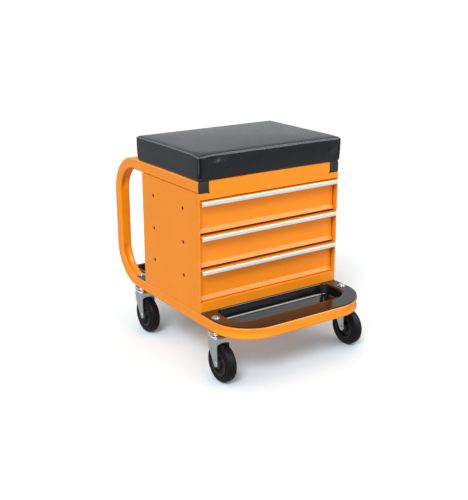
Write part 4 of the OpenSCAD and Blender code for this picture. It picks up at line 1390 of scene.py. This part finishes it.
def build_fasteners():
    """Bolts, washers and nuts of the castors, screws of the seat and of the slides."""
    up, down = (0, 0, 1), (0, 0, -1)
    bolts = at_corners(SIDE_X, CASTOR_Y)
    washer_z = TRAY_TOP + WASHER_T
    nut_low = CASTOR_TOP - NUT_DROP
    head = socket_head("button_head", radius=0.007, height=0.002, across=0.006, depth=0.0025,
                       shank=(BOLT_R, washer_z - nut_low + BOLT_END))
    section = rounded_profile(rectangle(BOLT_R + 0.0003, 0, 0.009, WASHER_T),
                              [0.0001, 0.0004, 0.0005, 0.0001], 3)
    washer = turned("washer", section, steps=48)
    nut = hexagon_nut("nut", across=0.013, height=0.0065, bore=BOLT_R)
    screw = socket_head("seat_screw", radius=0.0044, height=0.003, across=0.003, depth=0.0018,
                        shank=(0.0025, 0.032))
    seat = at_corners(SIDE_X - 0.004, BACK_Y - 0.038)
    for node, word, shape, places, z, facing, spin, seed in (
        ("castor_bolts", "turned", head, bolts, washer_z, up, math.tau, 4),
        ("castor_washers", "stamped", washer, bolts, TRAY_TOP, up, 0.0, 1),
        ("castor_nuts", "forged", nut, bolts, nut_low, up, math.tau, 6),
        ("seat_screws", "turned", screw, seat, SEAT_Z - TUBE, down, math.tau, 8),
    ):
        set_down(node, word, shape, [((x, y, z), facing) for x, y in places], FASTENER, "root",
                 spin, seed)
    profile = [
        (0, -0.0017), (0.00375, -0.0017), (0.00385, -0.0016), (0.00385, -0.0012), (0.0020, -0.0012),
        (0.0020, 0), (0.0036, 0), (0.0036, 0.0005), (0.0031, 0.0011), (0.0020, 0.0014),
        (0.0008, 0.0014), (0.0006, 0.0008), (0, 0.0008)]
    pan = turned("pan_head", profile, steps=24, closed=False, angle=35)
    inner = CABINET_W / 2 - SHEET - SLIDE_SHEET
    rows = []
    for side in (-1, 1):
        for k in (3, 2, 1):
            for y in SLIDE_SCREWS:
                place = (side * inner, FRONT_Y + y, drawer_foot(k) + SLIDE_UP)
                rows.append((place, (-side, 0, 0)))
    set_down("slide_screws", "turned", pan, rows, SCREW, "root", math.tau, 10)


def build_balls():
    """Balls under the castors' races, and the rows of balls in the slides."""
    up = (0, 0, 1)
    rows = []
    for x, y in at_corners(SIDE_X, CASTOR_Y):
        for k in range(12):
            p = polar(BALL_RING, math.tau * k / 12)
            rows.append(((x + p.x, y + p.y, CROWN_Z + 0.0001 + SWIVEL_BALL_R), up))
    set_down("castor_balls", "polished", ball("swivel_ball", SWIVEL_BALL_R), rows, BALL, "root")
    small = ball("slide_ball", SLIDE_BALL_R)
    inside = CABINET_W / 2 - SHEET
    start = FACE_Y + SHEET + 0.001
    for k in (1, 2, 3):
        z = drawer_foot(k) + SLIDE_UP
        rows = []
        for side, way, step in itertools.product((-1, 1), (-1, 1), range(6)):
            for depth, height, first in SLIDE_BALL_ROWS:
                y = start + SLIDE_RUN * first + SLIDE_BALL_PITCH * (step + 1) / 2
                rows.append(((side * (inside - depth), y, z + way * height), up))
        set_down(f"slide_balls_{k}", "polished", small.copy(), rows, BALL, f"mid_slides_{k}")


def floor_finish():
    """White paper that shades itself near the object, and is a plain light card to gloss."""
    f = Finish("studio_floor", "")
    grain = f.noise(0.5, 2)
    matt = f.node("ShaderNodeBsdfDiffuse", [f.mix(grain, (0.72, 0.76, 0.79), (0.74, 0.78, 0.81))])
    card = f.node("ShaderNodeEmission", {"Strength": FLOOR_GLOSS})
    sky = f.node("ShaderNodeAmbientOcclusion", {"Distance": SHADE_REACH}, "AO", samples=16)
    shade = f.node("ShaderNodeEmission", {"Strength": sky.ease(0.0, 0.9) * FLOOR_GLOW})
    tone = f.mix(sky.ease(0.4, 0.85), (0.72, 0.88, 1.0), (0.96, 0.99, 1.0))
    paper = f.node("ShaderNodeBsdfDiffuse", [tone])
    seen = f.node("ShaderNodeLightPath", output="Is Camera Ray")
    gloss = f.node("ShaderNodeLightPath", output="Is Glossy Ray")
    surface = f.mixed(seen, f.mixed(gloss, matt, card), f.mixed(FLOOR_GLOW_SHARE, paper, shade))
    clear = f.node("ShaderNodeBsdfTransparent")
    surface = f.mixed(f.place.length().ease(1.0, 2.4), surface, clear)
    f.node("ShaderNodeOutputMaterial", {"Surface": surface})
    f.material.cycles.emission_sampling = "NONE"
    return f.material


def build_floor():
    """The sheet of paper under the stool, far wider than the view."""
    shape = Shape()
    corners = rectangle(-FLOOR_HALF, -FLOOR_HALF, FLOOR_HALF, FLOOR_HALF)
    shape.bm.faces.new(shape.ring([(x, y, 0) for x, y in corners]))
    ground = in_scene("floor", shape.mesh("floor"))
    ground.data.materials.append(floor_finish())


def build_lamps():
    """One key lamp, a fill for matt surfaces, and three cards that only gloss sees."""
    for name, place, spread, power, lights in LAMPS:
        data = bpy.data.lights.new(name, "SUN")
        data.angle = math.radians(spread)
        data.energy = power
        lamp = in_scene(name, data)
        lamp.location = place
        lamp.rotation_euler = (-Vector(place)).to_track_quat("-Z", "Y").to_euler()
        lamp.visible_diffuse = lights != "gloss"
        lamp.visible_glossy = lights != "matt"


def build_world():
    """A white surround for the camera, and a dimmer one for matt surfaces and for gloss."""
    world = bpy.data.worlds.new("studio")
    world.use_nodes = True
    bpy.context.scene.world = world
    web = Web(world.node_tree)
    web.tree.nodes.clear()
    seen = web.node("ShaderNodeLightPath", output="Is Camera Ray")
    gloss = web.node("ShaderNodeLightPath", output="Is Glossy Ray")
    behind = web.node("ShaderNodeTexCoord", output="Generated").dot((0.55, 0.83, 0.05))
    room = GLOSS_NEAR + behind.ease(-0.3, 0.85) * (GLOSS_FAR - GLOSS_NEAR)
    white = (1, 1, 1, 1)
    mirror = web.background((0.93, 0.97, 1.0, 1), room)
    lit = web.mixed(gloss, web.background(white, WORLD_LIGHT), mirror)
    surface = web.mixed(seen, lit, web.background(white, WORLD_WHITE))
    web.node("ShaderNodeOutputWorld", {"Surface": surface})


def set_camera():
    """The photograph's own viewpoint."""
    data = bpy.data.cameras.new("viewpoint")
    data.sensor_width = 36
    data.lens = CAMERA_LENS
    camera = in_scene("viewpoint", data)
    camera.location = CAMERA_AT
    camera.rotation_euler = Vector(CAMERA_WAY).to_track_quat("-Z", "Y").to_euler()
    bpy.context.scene.camera = camera


set_camera()
FASTENERS = fastener_tree()
build_frame()
build_cabinet()
build_drawers()
build_trays()
build_cushion()
build_castors()
build_fasteners()
build_balls()
build_floor()
build_lamps()
build_world()
bpy.context.scene.view_settings.view_transform = "Standard"
